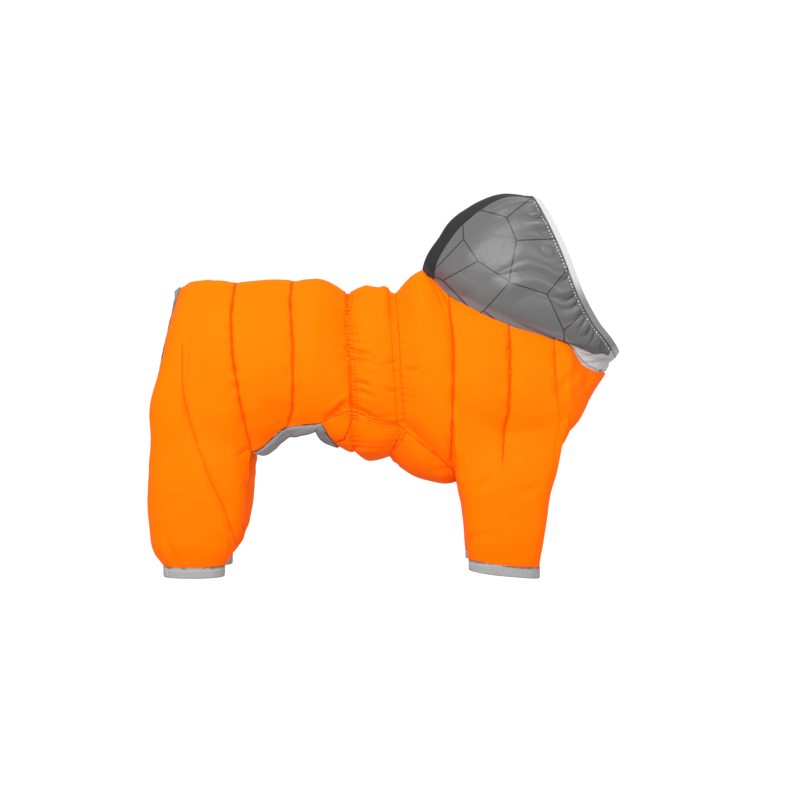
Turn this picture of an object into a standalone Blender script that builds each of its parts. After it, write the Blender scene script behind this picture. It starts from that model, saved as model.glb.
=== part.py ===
"""Padded dog jumpsuit with a hood, in its worn shape.

Every cloth piece is a hollow wall. One surface is laid out over the whole garment from the tables below, in
millimetres: +X points to the head, +Z up, and the right side (-Y) is worked out first and mirrored to the left.
Each piece takes its own cells of that surface. Its inside is plain, and its outside stands off by the padding,
which is thin along each seam and full between seams.
"""
import math
from collections import namedtuple

import bpy
import numpy as np

for leftover in list(bpy.data.objects):
    bpy.data.objects.remove(leftover)

MM = 0.001

# ---- Driving sizes, in millimetres ----
PADDING = 9.0            # wall at the crown of a padded channel
EDGE_WALL = 2.2          # wall at the zip, the neck seam, the hems and the opening
QUILT_WALL = 4.2         # wall under a quilting line
LEG_SEAM_WALL = 6.0      # wall at the seams that run down the legs
SEAM_REACH = 26.0        # distance from a seam at which the padding is full
SEAM_FULLNESS = 0.75     # under 1 makes the padding rise steeply beside a seam
SEAM_GAP = 0.3           # between two pieces along their seam
ROUNDNESS = 0.85         # exponent of a section's width: under 1 is squarer than an ellipse
SIDE_ROWS = 12           # cells from the spine or neck seam down to the lower seam
BELLY_ROWS = 5           # cells from the lower seam to the middle of the belly
THIGH_TOP_ROW = 7        # row where the hind leg panel starts, below the rump
SLEEVE_TOP_ROW = 8       # rows of the body between which the sleeve opens
SLEEVE_LOW_ROW = 14
LEG_RINGS = 9
SLEEVE_RINGS = 7
INNER_THIGH_CELLS = 9    # cells of the hind leg's top edge along the opening
GATHER = 0.16            # part of the padding that rises and falls beside the waist elastic
GATHER_REACH = 16.0

BINDING_WIDTH = 8.0      # tape round the belly and tail opening
BINDING_WALL = 2.6
CUFF_HEIGHT = 11.0
CUFF_WALL = 2.4
HOOD_WALL = 1.8
HOOD_COLUMNS = 9
HOOD_GATHER = 1.2        # depth of the gathers beside the face binding
FACE_BINDING_WIDTH = 10.0
FACE_BINDING_WALL = 3.0
BAND_SMOOTHING = 5       # rounds that even out the direction of a band along its edge

ZIP_VALLEY = 4.5         # how far the zip lies below the padded panels beside it
ZIP_VALLEY_WIDTH = 11.0  # from the edge of the panel to its crown
ZIP_CROWN = 1.8
ZIP_TAPE_WIDTH = 11.7    # fills the gap that the body panels leave along the spine
ZIP_TAPE_WALL = 1.5
ZIP_CHAIN_WIDTH = 5.2
ZIP_CHAIN_TOP = 2.4      # height over the tape's underside
ZIP_END_GAP = (0.5, 1.2)  # from the opening's binding, and from the hood
SLIDER_LENGTH = 9.6
SLIDER_WIDTH = 8.4
SLIDER_TOP = 4.1         # height over the tape's underside
SLIDER_TO_HOOD = 8.8     # from the tape's front end to the pull tab's pivot
PIVOT_HEIGHT = 5.2
WINDOW = 2.2             # square window of the slider's bridge
BRIDGE_WALL = 0.8
BRIDGE_WIDTH = 2.4
PULL_LENGTH = 18.0
PULL_WIDTH = 6.4
PULL_WALL = 1.2
PULL_TILT = 8.0          # degrees by which the tab hangs below the slider's line
PULL_EYE = (3.4, 3.2)    # clear width across and length of the eye that goes round the bridge

# ---- The body, one row for each station from the tail to the chest ----
# Each section starts beside the zip or on the neck seam (top), goes round the widest part of the side to the
# lower seam (seam), and ends in the middle of the belly (belly). Behind the belly panel the last stretch is
# open, and the belly point only shapes the curve. bow shifts the middle of the section along X, and splits
# places the sections between this station and the next.
Station = namedtuple("Station", "name top_x top_z top_y width bow seam_x seam_z belly_x belly_z splits")
BODY = [
    Station("tail", -213, 2, 6, 21, -7, -233, -122, -233, -246, (0.5,)),
    Station("rump", -202, 8, 6, 58, -9, -231, -130, -231, -268, (0.45,)),
    Station("thigh", -186, 11, 6, 78, -10, -197, -138, -197, -287, (0.13, 0.33, 0.54, 0.74, 0.9)),
    Station("hip", -151, 11, 6, 78, 0, -131, -174, -128, -197, (0.1, 0.35, 0.65, 0.9)),
    Station("flank", -89, 13, 6, 75, 1, -94, -148, -88, -170, (0.3, 0.7)),
    Station("belly_edge", -60, 13, 6, 71, 1, -58, -143, -40, -173, (0.45, 0.82)),
    Station("waist_rear", -30, -1, 6, 64, -1, -24, -134, -24, -183, (0.22, 0.6)),
    Station("waist_middle", -5, 5, 6, 67, 0, -3, -141, -6, -188, (0.4, 0.78)),
    Station("waist_front", 22, -1, 6, 66, 0, 32, -150, 13, -188, (0.22, 0.6)),
    Station("nape", 51, 21, 6, 73, 0, 58, -170, 48, -207, (0.5, 0.8)),
    Station("shoulder", 79, -7, 38, 76, 3, 86, -190, 92, -215, (0.12, 0.36, 0.64, 0.88)),
    Station("chest", 144, -37, 58, 76, 0, 140, -195, 142, -206, (0.14, 0.5, 0.86)),
    Station("chest_front", 192, -54, 54, 71, 4, 187, -179, 174, -194, ()),
    Station("chin_edge", 206, -57, 50, 66, 4, 198, -167, 185, -187, (0.5,)),
    Station("breast", 224, -81, 37, 52, 4, 207, -158, 195, -180, (0.5,)),
    Station("breast_front", 242, -88, 20, 32, 4, 213, -152, 201, -175, (0.5,)),
    Station("breastbone", 253, -92, 0, 0, 0, 217, -148, 205, -171, ()),
]
QUILTED = ("hip", "flank", "waist_rear", "waist_front", "shoulder", "chest", "chest_front")

# ---- The leg tubes, one row for each level: fore-and-aft reach, and inner and outer side ----
Level = namedtuple("Level", "z rear front inner outer")
HIND_LEG = [
    Level(-120, -238, -126, 14, 82),
    Level(-180, -243, -130, 15, 82),
    Level(-205, -244, -134, 16, 81),
    Level(-227, -244, -136, 17, 80),
    Level(-248, -243, -139, 18, 79),
    Level(-270, -242, -145, 20, 78),
    Level(-286, -237, -152, 21, 76),
    Level(-297, -227, -162, 25, 71),
]
SLEEVE = [
    Level(-120, 86, 206, 13, 80),
    Level(-185, 88, 200, 14, 81),
    Level(-215, 91, 193, 16, 80),
    Level(-240, 94, 189, 18, 79),
    Level(-262, 97, 186, 19, 77),
    Level(-282, 100, 182, 20, 75),
    Level(-297, 103, 178, 23, 71),
]
HIND_HEM = (-297, -297)      # z at the rear and at the front of the hem
SLEEVE_HEM = (-290, -299)
HIND_SEAM_TURN = (20.0, -24.0)  # where the two seams of the hind leg reach the hem, degrees from the front
SEAM_TWIST = 1.5

# ---- The hood ----
FACE_TOP = (176.0, 99.0)        # x, z of the face opening's top and throat
FACE_THROAT = (263.0, -74.0)
FACE_HALF_WIDTH = 62.0
# How the hood's lines run from the neck seam to the face: share of the half ring at each end.
HOOD_SHARES = [(0.0, 0.0), (0.14, 0.13), (0.45, 0.5), (0.74, 0.9), (1.0, 1.0)]
HOOD_CENTRE_LINE = 2            # seam lines of the hood, counted from the middle of the back
NECK_RISE = 0.12                # how the hood leaves the neck seam and meets the face, as parts of its length
NECK_SPREAD = (0.15, 0.13)      # at the back and at the throat
FACE_RUN = 0.42
FACE_SPREAD = (0.31, 0.10)

LOOKS = {                       # colour, roughness, metallic
    "orange": ((1.0, 0.26, 0.0, 1.0), 0.45, 0.0),
    "grey": ((0.25, 0.25, 0.26, 1.0), 0.5, 0.0),
    "dark_grey": ((0.05, 0.05, 0.055, 1.0), 0.5, 0.0),
    "light_grey": ((0.5, 0.5, 0.51, 1.0), 0.6, 0.0),
    "zip": ((0.9, 0.22, 0.0, 1.0), 0.5, 0.0),
    "steel": ((0.55, 0.55, 0.56, 1.0), 0.3, 0.9),
}


def smooth_table(rows, field):
    """A smooth function of the row number through one column of a table, without overshoot."""
    values = np.array([getattr(row, field) for row in rows], float)
    steps = np.diff(values)
    slopes = np.zeros(len(values))
    slopes[0] = steps[0]
    slopes[-1] = steps[-1]
    for i in range(1, len(values) - 1):
        if steps[i - 1] * steps[i] > 0:
            slopes[i] = 2 * steps[i - 1] * steps[i] / (steps[i - 1] + steps[i])

    def value(position):
        i = min(int(position), len(steps) - 1)
        t = position - i
        rise = steps[i] * t * t * (3 - 2 * t)
        return values[i] + rise + slopes[i] * t * (1 - t) ** 2 - slopes[i + 1] * t * t * (1 - t)

    return value


def blend(a, b, t):
    return a + (b - a) * t


def soft_step(t):
    t = min(max(t, 0.0), 1.0)
    return t * t * (3 - 2 * t)


def unit(vector):
    return vector / max(np.linalg.norm(vector), 1e-9)


# ------------------------------------------------------------------------------------------------------------
# The garment's surface: points, cells tagged with their piece, and the seams that pinch the padding.
points = []
cells = []          # (corner indices in order, piece)
band_depth = {}     # depth of the plain inside below the points of the hood and the bands
edge_runs = []      # runs of point indices along an edge of the padded cloth
quilt_runs = []     # runs that follow a quilting line or the belly seam
leg_seams = []      # runs that follow the seams down the legs
gathered = []       # runs that follow the waist elastic


def add_point(x, y, z, depth=None):
    points.append(np.array((x, y, z), float))
    if depth is not None:
        band_depth[len(points) - 1] = depth
    return len(points) - 1


# ---- Body sections, right side ----
station_fields = {field: smooth_table(BODY, field) for field in Station._fields[1:-1]}
positions = []
station_column = {}
for number, station in enumerate(BODY):
    station_column[station.name] = len(positions)
    positions.append(float(number))
    positions += [number + split for split in station.splits]

TAIL, THIGH, HIP, BELLY_EDGE, WAIST_FRONT, NAPE, SHOULDER, CHIN_EDGE, BREASTBONE = (
    station_column[name] for name in
    ("tail", "thigh", "hip", "belly_edge", "waist_front", "nape", "shoulder", "chin_edge", "breastbone"))
LAST_ROW = SIDE_ROWS + BELLY_ROWS
NAPE_STATION = positions[NAPE]


def section_points(position):
    """Points of one body section from its top to the middle of the belly."""
    at = {field: value(position) for field, value in station_fields.items()}
    width = max(at["width"], 0.001)
    along_zip = soft_step(position) * (1 - soft_step(position - NAPE_STATION))
    start = math.asin(min(at["top_y"] / width, 1.0) ** (1 / ROUNDNESS)) if at["top_y"] > 0.01 else 0.0
    reach = math.cos(start) + 1
    seam_share = (at["top_z"] - at["seam_z"]) / (at["top_z"] - at["belly_z"])
    seam_angle = math.acos(math.cos(start) - seam_share * reach)
    rows = []
    for row in range(LAST_ROW + 1):
        if row <= SIDE_ROWS:
            angle = blend(start, seam_angle, row / SIDE_ROWS)
        else:
            angle = blend(seam_angle, math.pi, (row - SIDE_ROWS) / BELLY_ROWS)
        share = (math.cos(start) - math.cos(angle)) / reach
        if share <= seam_share:
            x = blend(at["top_x"], at["seam_x"], share / seam_share)
        else:
            x = blend(at["seam_x"], at["belly_x"], (share - seam_share) / (1 - seam_share))
        x += at["bow"] * 4 * share * (1 - share)
        y = at["width"] * max(math.sin(angle), 0.0) ** ROUNDNESS
        z = blend(at["top_z"], at["belly_z"], share)
        if row == 0:
            z -= ZIP_VALLEY * along_zip * (1 - soft_step((y - ZIP_TAPE_WIDTH / 2) / ZIP_VALLEY_WIDTH))
        elif row == 1:
            z += ZIP_CROWN * along_zip
        rows.append((x, -y, z))
    return rows


def in_sleeve_hole(column, row):
    return SHOULDER < column < CHIN_EDGE and SLEEVE_TOP_ROW < row < SLEEVE_LOW_ROW


body = {}
for column, position in enumerate(positions):
    last = LAST_ROW if column >= BELLY_EDGE else SIDE_ROWS
    for row, place in enumerate(section_points(position)[:last + 1]):
        if not in_sleeve_hole(column, row):
            body[column, row] = add_point(*place)


def body_piece(column, row):
    if row >= SIDE_ROWS:
        return "belly_rear" if column < WAIST_FRONT else "belly_front"
    if column < THIGH and row >= THIGH_TOP_ROW:
        return "hind_leg"
    return "body_rear" if column < WAIST_FRONT else "chest"


for column in range(BREASTBONE):
    last = LAST_ROW if column >= BELLY_EDGE else SIDE_ROWS
    for row in range(last):
        inside_hole = SHOULDER <= column < CHIN_EDGE and SLEEVE_TOP_ROW <= row < SLEEVE_LOW_ROW
        if not inside_hole:
            corners = (body[column, row], body[column, row + 1], body[column + 1, row + 1], body[column + 1, row])
            cells.append((corners, body_piece(column, row)))

for name in QUILTED:
    column = station_column[name]
    last = LAST_ROW if column >= BELLY_EDGE else SIDE_ROWS
    rows = [row for row in range(last + 1) if (column, row) in body]
    if name == "chest_front":
        rows = rows[:SIDE_ROWS // 2]
    run = [body[column, row] for row in rows]
    quilt_runs.append([p for p, row in zip(run, rows) if row <= SLEEVE_TOP_ROW or column <= SHOULDER])
    if name.startswith("waist"):
        gathered.append(run)
quilt_runs.append([body[column, SIDE_ROWS] for column in range(BELLY_EDGE, SHOULDER + 1)])
quilt_runs.append([body[column, SIDE_ROWS] for column in range(CHIN_EDGE, BREASTBONE + 1)])
edge_runs.append([body[column, 0] for column in range(BREASTBONE + 1)])
edge_runs.append([body[column, SIDE_ROWS] for column in range(HIP, BELLY_EDGE + 1)])
edge_runs.append([body[TAIL, row] for row in range(SIDE_ROWS + 1)])
edge_runs.append([body[BELLY_EDGE, row] for row in range(SIDE_ROWS, LAST_ROW + 1)])


# ---- Leg tubes ----
def level_at(table, z):
    """Centre and half sizes of a leg tube at a height."""
    heights = [-level.z for level in table]
    fields = [np.interp(-z, heights, [getattr(level, name) for level in table]) for name in Level._fields[1:]]
    rear, front, inner, outer = fields
    return (rear + front) / 2, -(inner + outer) / 2, (front - rear) / 2, (outer - inner) / 2


def leg_tube(ring, table, hem, rings, end_angles, blend_rings, piece_of):
    """Cells from a closed run of points on the body down to the hem. Returns the points of the hem."""
    start = [points[p].copy() for p in ring]
    angles = []
    for place in start:
        x, y, half_x, half_y = level_at(table, max(place[2], table[1].z))
        angle = math.atan2(-(place[1] - y) / half_y, (place[0] - x) / half_x)
        angles.append(angle)
    angles = list(np.unwrap(angles))
    ends = end_angles(angles)
    above = ring
    for k in range(1, rings + 1):
        share = k / rings
        below = []
        for place, angle, end in zip(start, angles, ends):
            turn = blend(angle, end, share ** SEAM_TWIST)
            hem_z = blend(hem[0], hem[1], (1 + math.cos(end)) / 2)
            z = blend(place[2], hem_z, share)
            x, y, half_x, half_y = level_at(table, z)
            round_x = math.copysign(abs(math.cos(turn)) ** ROUNDNESS, math.cos(turn))
            round_y = math.copysign(abs(math.sin(turn)) ** ROUNDNESS, math.sin(turn))
            target = np.array((x + half_x * round_x, y - half_y * round_y, z))
            straight = np.array((place[0], place[1], z))
            weight = soft_step(k / blend_rings)
            where = blend(straight, target, weight)
            below.append(add_point(*where))
        for m in range(len(ring)):
            after = (m + 1) % len(ring)
            cells.append(((above[m], above[after], below[after], below[m]), piece_of(m)))
        above = below
        tube.append(below)
    return above


# Hind leg: the outer half of its top edge is the body's lower row from the tail to the hip, and the inner half
# runs free along the opening from the hip back to the tail.
outer_edge = [body[column, SIDE_ROWS] for column in range(HIP, TAIL - 1, -1)]
front_corner = points[outer_edge[0]]
rear_corner = points[outer_edge[-1]]
inner_edge = []
for n in range(1, INNER_THIGH_CELLS):
    share = n / INNER_THIGH_CELLS
    x = blend(rear_corner[0], front_corner[0], share)
    straight_y = blend(rear_corner[1], front_corner[1], share)
    y = blend(straight_y, -15.0, math.sin(math.pi * share) ** 0.7)
    z = blend(rear_corner[2], front_corner[2], soft_step(share)) - 6.0 * math.sin(math.pi * share)
    inner_edge.append(add_point(x, y, z))
hind_ring = outer_edge + inner_edge
THIGH_LINE = HIP - THIGH


def hind_end_angles(angles):
    """The thigh seam swings from the side of the hip to the front of the hem, and every line follows."""
    seam_front, inner_front = (math.radians(turn) for turn in HIND_SEAM_TURN)
    ends = []
    for m in range(len(angles)):
        if m <= THIGH_LINE:
            ends.append(blend(inner_front, seam_front, m / THIGH_LINE))
        else:
            around = (m - THIGH_LINE) / (len(angles) - THIGH_LINE)
            ends.append(blend(seam_front, inner_front + 2 * math.pi, around))
    return ends


tube = []
hind_hem = leg_tube(hind_ring, HIND_LEG, HIND_HEM, LEG_RINGS, hind_end_angles, 3,
                    lambda m: "body_rear" if m < THIGH_LINE else "hind_leg")
thigh_column = [body[THIGH, row] for row in range(THIGH_TOP_ROW, SIDE_ROWS + 1)]
leg_seams.append(thigh_column + [ring[THIGH_LINE] for ring in tube])
leg_seams.append([hind_ring[0]] + [ring[0] for ring in tube])
leg_seams.append([body[column, THIGH_TOP_ROW] for column in range(TAIL, THIGH + 1)])
edge_runs.append(inner_edge)
edge_runs.append(hind_hem + hind_hem[:1])

# Sleeve: its top edge is the hole in the body's side, followed from the shoulder forwards, down the breast and
# back along the belly.
columns = range(SHOULDER, CHIN_EDGE)
rows = range(SLEEVE_TOP_ROW, SLEEVE_LOW_ROW)
sleeve_ring = [body[CHIN_EDGE, row] for row in reversed(range(SLEEVE_TOP_ROW + 1, SLEEVE_LOW_ROW + 1))]
sleeve_ring += [body[column, SLEEVE_TOP_ROW] for column in range(CHIN_EDGE, SHOULDER, -1)]
sleeve_ring += [body[SHOULDER, row] for row in rows]
sleeve_ring += [body[column, SLEEVE_LOW_ROW] for column in columns]
FRONT_LINE = SLEEVE_LOW_ROW - SIDE_ROWS
REAR_LINE = len(rows) + len(columns) + SIDE_ROWS - SLEEVE_TOP_ROW
tube = []
sleeve_hem = leg_tube(sleeve_ring, SLEEVE, SLEEVE_HEM, SLEEVE_RINGS, lambda angles: angles, 3,
                      lambda m: "chest" if FRONT_LINE <= m < REAR_LINE else "belly_front")
leg_seams.append([sleeve_ring[FRONT_LINE]] + [ring[FRONT_LINE] for ring in tube])
leg_seams.append([sleeve_ring[REAR_LINE]] + [ring[REAR_LINE] for ring in tube])
edge_runs.append(sleeve_hem + sleeve_hem[:1])

# ---- Hood ----
neck = [add_point(points[body[NAPE, 0]][0] - 1.0, 0.0, points[body[NAPE, 0]][2] + 0.5, EDGE_WALL)]
neck += [body[column, 0] for column in range(NAPE, BREASTBONE + 1)]
neck_places = np.array([points[p] for p in neck])
neck_run = np.concatenate(([0], np.cumsum(np.linalg.norm(np.diff(neck_places, axis=0), axis=1))))
neck_share = neck_run / neck_run[-1]
top = np.array((FACE_TOP[0], 0.0, FACE_TOP[1]))
throat = np.array((FACE_THROAT[0], 0.0, FACE_THROAT[1]))
face_centre = (top + throat) / 2
face_up = (top - throat) / 2
face_back = -unit(np.cross(face_up, (0.0, 1.0, 0.0)))
if face_back[0] > 0:
    face_back = -face_back
neck_centre = (neck_places[0] + neck_places[-1]) / 2
neck_line = unit(neck_places[-1] - neck_places[0])
neck_out = unit(np.cross(neck_line, (0.0, 1.0, 0.0)))
if neck_out[2] < 0:
    neck_out = -neck_out
share_in, share_out = zip(*HOOD_SHARES)
hood = {}
for m, start_point in enumerate(neck):
    share = float(np.interp(neck_share[m], share_in, share_out))
    angle = math.pi * share
    side = np.array((0.0, -FACE_HALF_WIDTH * math.sin(angle) ** ROUNDNESS if 0 < share < 1 else 0.0, 0.0))
    face = face_centre + face_up * math.cos(angle) + side
    begin = neck_places[m]
    length = np.linalg.norm(face - begin)
    radial_neck = unit(begin - neck_centre - neck_line * 0.35 * np.dot(begin - neck_centre, neck_line))
    radial_face = unit(face_up * math.cos(angle) / np.linalg.norm(face_up) + side / FACE_HALF_WIDTH)
    first = begin + length * (NECK_RISE * neck_out + blend(*NECK_SPREAD, share) * radial_neck)
    second = face + length * (FACE_RUN * face_back + blend(*FACE_SPREAD, share ** 0.6) * radial_face)
    hood[m, 0] = start_point
    for k in range(1, HOOD_COLUMNS + 1):
        t = k / HOOD_COLUMNS
        curve = (1 - t) ** 3 * begin + 3 * t * (1 - t) ** 2 * first + 3 * t * t * (1 - t) * second + t ** 3 * face
        hood[m, k] = add_point(*curve, HOOD_WALL if k > 1 else 2 * HOOD_WALL)
LAST_HOOD_LINE = len(neck) - 1
CHIN_LINE = CHIN_EDGE - NAPE + 1


def hood_piece(m):
    if m < HOOD_CENTRE_LINE:
        return "hood_centre"
    return "hood" if m < CHIN_LINE else "hood_chin"


for m in range(LAST_HOOD_LINE):
    for k in range(HOOD_COLUMNS):
        corners = (hood[m, k], hood[m + 1, k], hood[m + 1, k + 1], hood[m, k + 1])
        cells.append((corners, hood_piece(m)))
face_edge = [hood[m, HOOD_COLUMNS] for m in range(LAST_HOOD_LINE + 1)]


# ------------------------------------------------------------------------------------------------------------
# The left side mirrors the right. Points on the middle plane are shared.
half_count = len(points)
mirror_of = {}
for p in range(half_count):
    if abs(points[p][1]) < 1e-6:
        mirror_of[p] = p
    else:
        x, y, z = points[p]
        mirror_of[p] = add_point(x, -y, z, band_depth.get(p))
ONE_PIECE = ("belly_rear", "belly_front", "hood_centre", "hood_chin")


def sided(piece, side):
    return piece if piece in ONE_PIECE else f"{piece}_{side}"


cells = [(corners, sided(piece, "right")) for corners, piece in cells] + \
        [(tuple(mirror_of[p] for p in reversed(corners)), sided(piece, "left")) for corners, piece in cells]
for runs in (edge_runs, quilt_runs, leg_seams, gathered):
    runs += [[mirror_of[p] for p in run] for run in runs]


def surface_normals():
    normals = np.zeros((len(points), 3))
    for corners, _ in cells:
        a, b, c, d = (points[p] for p in corners)
        normal = np.cross(c - a, d - b)
        for p in corners:
            normals[p] += normal
    return np.array([unit(normal) for normal in normals])


# ---- Bindings and cuffs carry the surface on past its free edges ----
def add_band(loop, width, wall, piece, drop=None):
    """A closed band beyond a run of edge points. It fans out smoothly where the edge turns, or follows drop."""
    normals = surface_normals()
    near_cells = {}
    for corners, _ in cells:
        for p in corners:
            near_cells.setdefault(p, []).append(sum(points[q] for q in corners) / 4)
    count = len(loop)
    directions = []
    for n, p in enumerate(loop):
        along = unit(points[loop[(n + 1) % count]] - points[loop[n - 1]])
        away = points[p] - sum(near_cells[p]) / len(near_cells[p])
        across = unit(np.cross(along, normals[p]))
        directions.append(across if np.dot(across, away) > 0 else -across)
    for _ in range(BAND_SMOOTHING):
        directions = [unit(directions[n - 1] + directions[n] + directions[(n + 1) % count]) for n in range(count)]
    for n, p in enumerate(loop):
        # In a corner of the edge the band follows the line that halves the corner.
        bend = unit(points[loop[n - 1]] - points[p]) + unit(points[loop[(n + 1) % count]] - points[p])
        direction = directions[n] + bend * np.sign(np.dot(bend, directions[n]))
        directions[n] = unit(direction - normals[p] * np.dot(direction, normals[p]))
    if drop is not None:
        directions = [np.array(drop)] * count
    outer = [add_point(*(points[p] + direction * width), wall) for p, direction in zip(loop, directions)]
    edges = {(corners[n - 1], corners[n]) for corners, _ in cells for n in range(4)}
    forward = any((p, loop[(n + 1) % count]) in edges for n, p in enumerate(loop))
    for n in range(count):
        after = (n + 1) % count
        corners = (loop[n], outer[n], outer[after], loop[after])
        cells.append((corners if forward else tuple(reversed(corners)), piece))


def both_sides(run):
    """A closed run: the right side's points, then their mirror images back to the start."""
    back = [mirror_of[p] for p in reversed(run)]
    return run + [p for p in back if p not in run]


opening_run = [body[TAIL, row] for row in range(SIDE_ROWS + 1)] + inner_edge
opening_run += [body[column, SIDE_ROWS] for column in range(HIP, BELLY_EDGE + 1)]
opening_run += [body[BELLY_EDGE, row] for row in range(SIDE_ROWS + 1, LAST_ROW + 1)]
add_band(both_sides(opening_run), BINDING_WIDTH, BINDING_WALL, "opening_binding")
add_band(both_sides(face_edge), FACE_BINDING_WIDTH, FACE_BINDING_WALL, "hood_binding")
for side, turned in (("right", lambda p: p), ("left", lambda p: mirror_of[p])):
    for hem, name in ((hind_hem, "cuff_hind"), (sleeve_hem, "cuff_front")):
        add_band([turned(p) for p in hem], CUFF_HEIGHT, CUFF_WALL, f"{name}_{side}", (0.0, 0.0, -1.0))

places = np.array(points)
normals = surface_normals()
back_line = [body[column, 0] for column in range(TAIL, NAPE + 1)]
for p in back_line + [mirror_of[p] for p in back_line]:
    normals[p] = unit(normals[p] * (1, 0, 1))

# The origin is the middle of the back's inside, at x = 0, where the garment hangs on its wearer.
places[:, 2] -= np.interp(0.0, places[back_line, 0], places[back_line, 2]) - EDGE_WALL


# ---- Wall thickness of each point, by kind of piece ----
def distance_to(runs):
    """Shortest distance from each point of the surface to any of the runs."""
    nearest = np.full(len(places), 1e9)
    for run in runs:
        for p, q in zip(run, run[1:]):
            start, step = places[p], places[q] - places[p]
            along = np.clip((places - start) @ step / max(step @ step, 1e-9), 0, 1)
            gap = np.linalg.norm(places - start - along[:, None] * step, axis=1)
            nearest = np.minimum(nearest, gap)
    return nearest


def padding_beside(runs, wall_at_seam):
    fullness = np.sin(np.clip(distance_to(runs) / SEAM_REACH, 0, 1) * math.pi / 2) ** SEAM_FULLNESS
    return wall_at_seam + (PADDING - wall_at_seam) * fullness


depths = padding_beside(edge_runs, EDGE_WALL)
for p, depth in band_depth.items():
    depths[p] = depth
padded_wall = np.minimum(depths, padding_beside(quilt_runs, QUILT_WALL))
padded_wall = np.minimum(padded_wall, padding_beside(leg_seams, LEG_SEAM_WALL))
from_elastic = distance_to(gathered)
ripple = np.zeros(len(places))
for (column, row), p in body.items():
    ripple[p] = ripple[mirror_of[p]] = 1 if row % 2 else -1
near_elastic = np.clip(1 - from_elastic / GATHER_REACH, 0, 1) * (from_elastic > 1)
padded_wall *= 1 + GATHER * ripple * near_elastic
hood_wall = np.full(len(places), HOOD_WALL)
for m in range(1, LAST_HOOD_LINE):
    for k in (HOOD_COLUMNS - 2, HOOD_COLUMNS - 1):
        for p in (hood[m, k], mirror_of[hood[m, k]]):
            hood_wall[p] += HOOD_GATHER * (m % 2) * (k - HOOD_COLUMNS + 3) / 2
WALLS = {"hood": hood_wall, "hood_binding": FACE_BINDING_WALL, "opening_binding": BINDING_WALL, "cuff": CUFF_WALL}


def wall_of(piece):
    for start in ("hood_binding", "opening_binding", "cuff", "hood"):
        if piece.startswith(start):
            return np.broadcast_to(WALLS[start], len(places))
    return padded_wall


# ------------------------------------------------------------------------------------------------------------
# Solids.
def material(name, look):
    colour, roughness, metallic = LOOKS[look]
    made = bpy.data.materials.new(name)
    made.use_nodes = True
    shader = made.node_tree.nodes["Principled BSDF"]
    shader.inputs["Base Color"].default_value = colour
    shader.inputs["Roughness"].default_value = roughness
    shader.inputs["Metallic"].default_value = metallic
    return made


def add_object(name, vertices, faces, look):
    mesh = bpy.data.meshes.new(name)
    mesh.from_pydata([tuple(float(value) * MM for value in vertex) for vertex in vertices], [], faces)
    mesh.materials.append(material(name, look))
    made = bpy.data.objects.new(name, mesh)
    bpy.context.scene.collection.objects.link(made)
    mesh.shade_smooth()
    mesh.set_sharp_from_angle(angle=math.radians(50))
    return made


def cloth_piece(name, look):
    """The closed wall of one piece: its cells outside and inside, and a rim round its edges."""
    own = [corners for corners, piece in cells if piece == name]
    used = sorted({p for corners in own for p in corners})
    edges = {}
    for corners in own:
        for n in range(4):
            edges[corners[n], corners[(n + 1) % 4]] = corners
    rim = [edge for edge in edges if (edge[1], edge[0]) not in edges]
    inward = {}
    for p, q in rim:
        normal = unit(normals[p] + normals[q])
        inward.setdefault(p, []).append(unit(np.cross(normal, places[q] - places[p])))
        inward.setdefault(q, []).append(unit(np.cross(normal, places[q] - places[p])))
    wall = wall_of(name)
    number = {}
    vertices = []
    for p in used:
        shift = np.zeros(3)
        if p in inward:
            pair = inward[p]
            total = sum(pair)
            reach = max(np.dot(total, pair[0]), 0.5)
            shift = total / reach * SEAM_GAP / 2
        number[p] = len(vertices)
        base = places[p] - normals[p] * depths[p] + shift
        vertices += [base + normals[p] * wall[p], base]
    faces = []
    for corners in own:
        outside = [number[p] for p in corners]
        faces.append(outside)
        faces.append([v + 1 for v in reversed(outside)])
    for p, q in rim:
        # Both pieces at a seam split its rim along the same diagonal.
        if p < q:
            faces.append([number[q], number[p], number[q] + 1])
            faces.append([number[p], number[p] + 1, number[q] + 1])
        else:
            faces.append([number[q], number[p], number[p] + 1])
            faces.append([number[q], number[p] + 1, number[q] + 1])
    return add_object(name, vertices, faces, look)


PIECE_LOOKS = {
    "body_rear_right": "orange", "body_rear_left": "orange",
    "hind_leg_right": "orange", "hind_leg_left": "orange",
    "chest_right": "orange", "chest_left": "orange",
    "belly_rear": "orange", "belly_front": "orange",
    "opening_binding": "grey",
    "cuff_hind_right": "light_grey", "cuff_hind_left": "light_grey",
    "cuff_front_right": "light_grey", "cuff_front_left": "light_grey",
    "hood_centre": "dark_grey", "hood_right": "grey", "hood_left": "grey",
    "hood_chin": "light_grey", "hood_binding": "light_grey",
}
for piece_name, piece_look in PIECE_LOOKS.items():
    cloth_piece(piece_name, piece_look)


# ------------------------------------------------------------------------------------------------------------
# The zip: its tape and chain follow the spine, sunk between the body panels.
def zip_spine():
    """The line of the tape's underside, from the opening's binding to the hood, and the way up at each point."""
    under = [(places[p] - normals[p] * EDGE_WALL) * (1, 0, 1) for p in back_line]
    ups = [normals[p] for p in back_line]
    under[0] = under[0] + unit(under[1] - under[0]) * ZIP_END_GAP[0]
    under[-1] = under[-1] + unit(under[-2] - under[-1]) * ZIP_END_GAP[1]
    return under, ups


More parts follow.
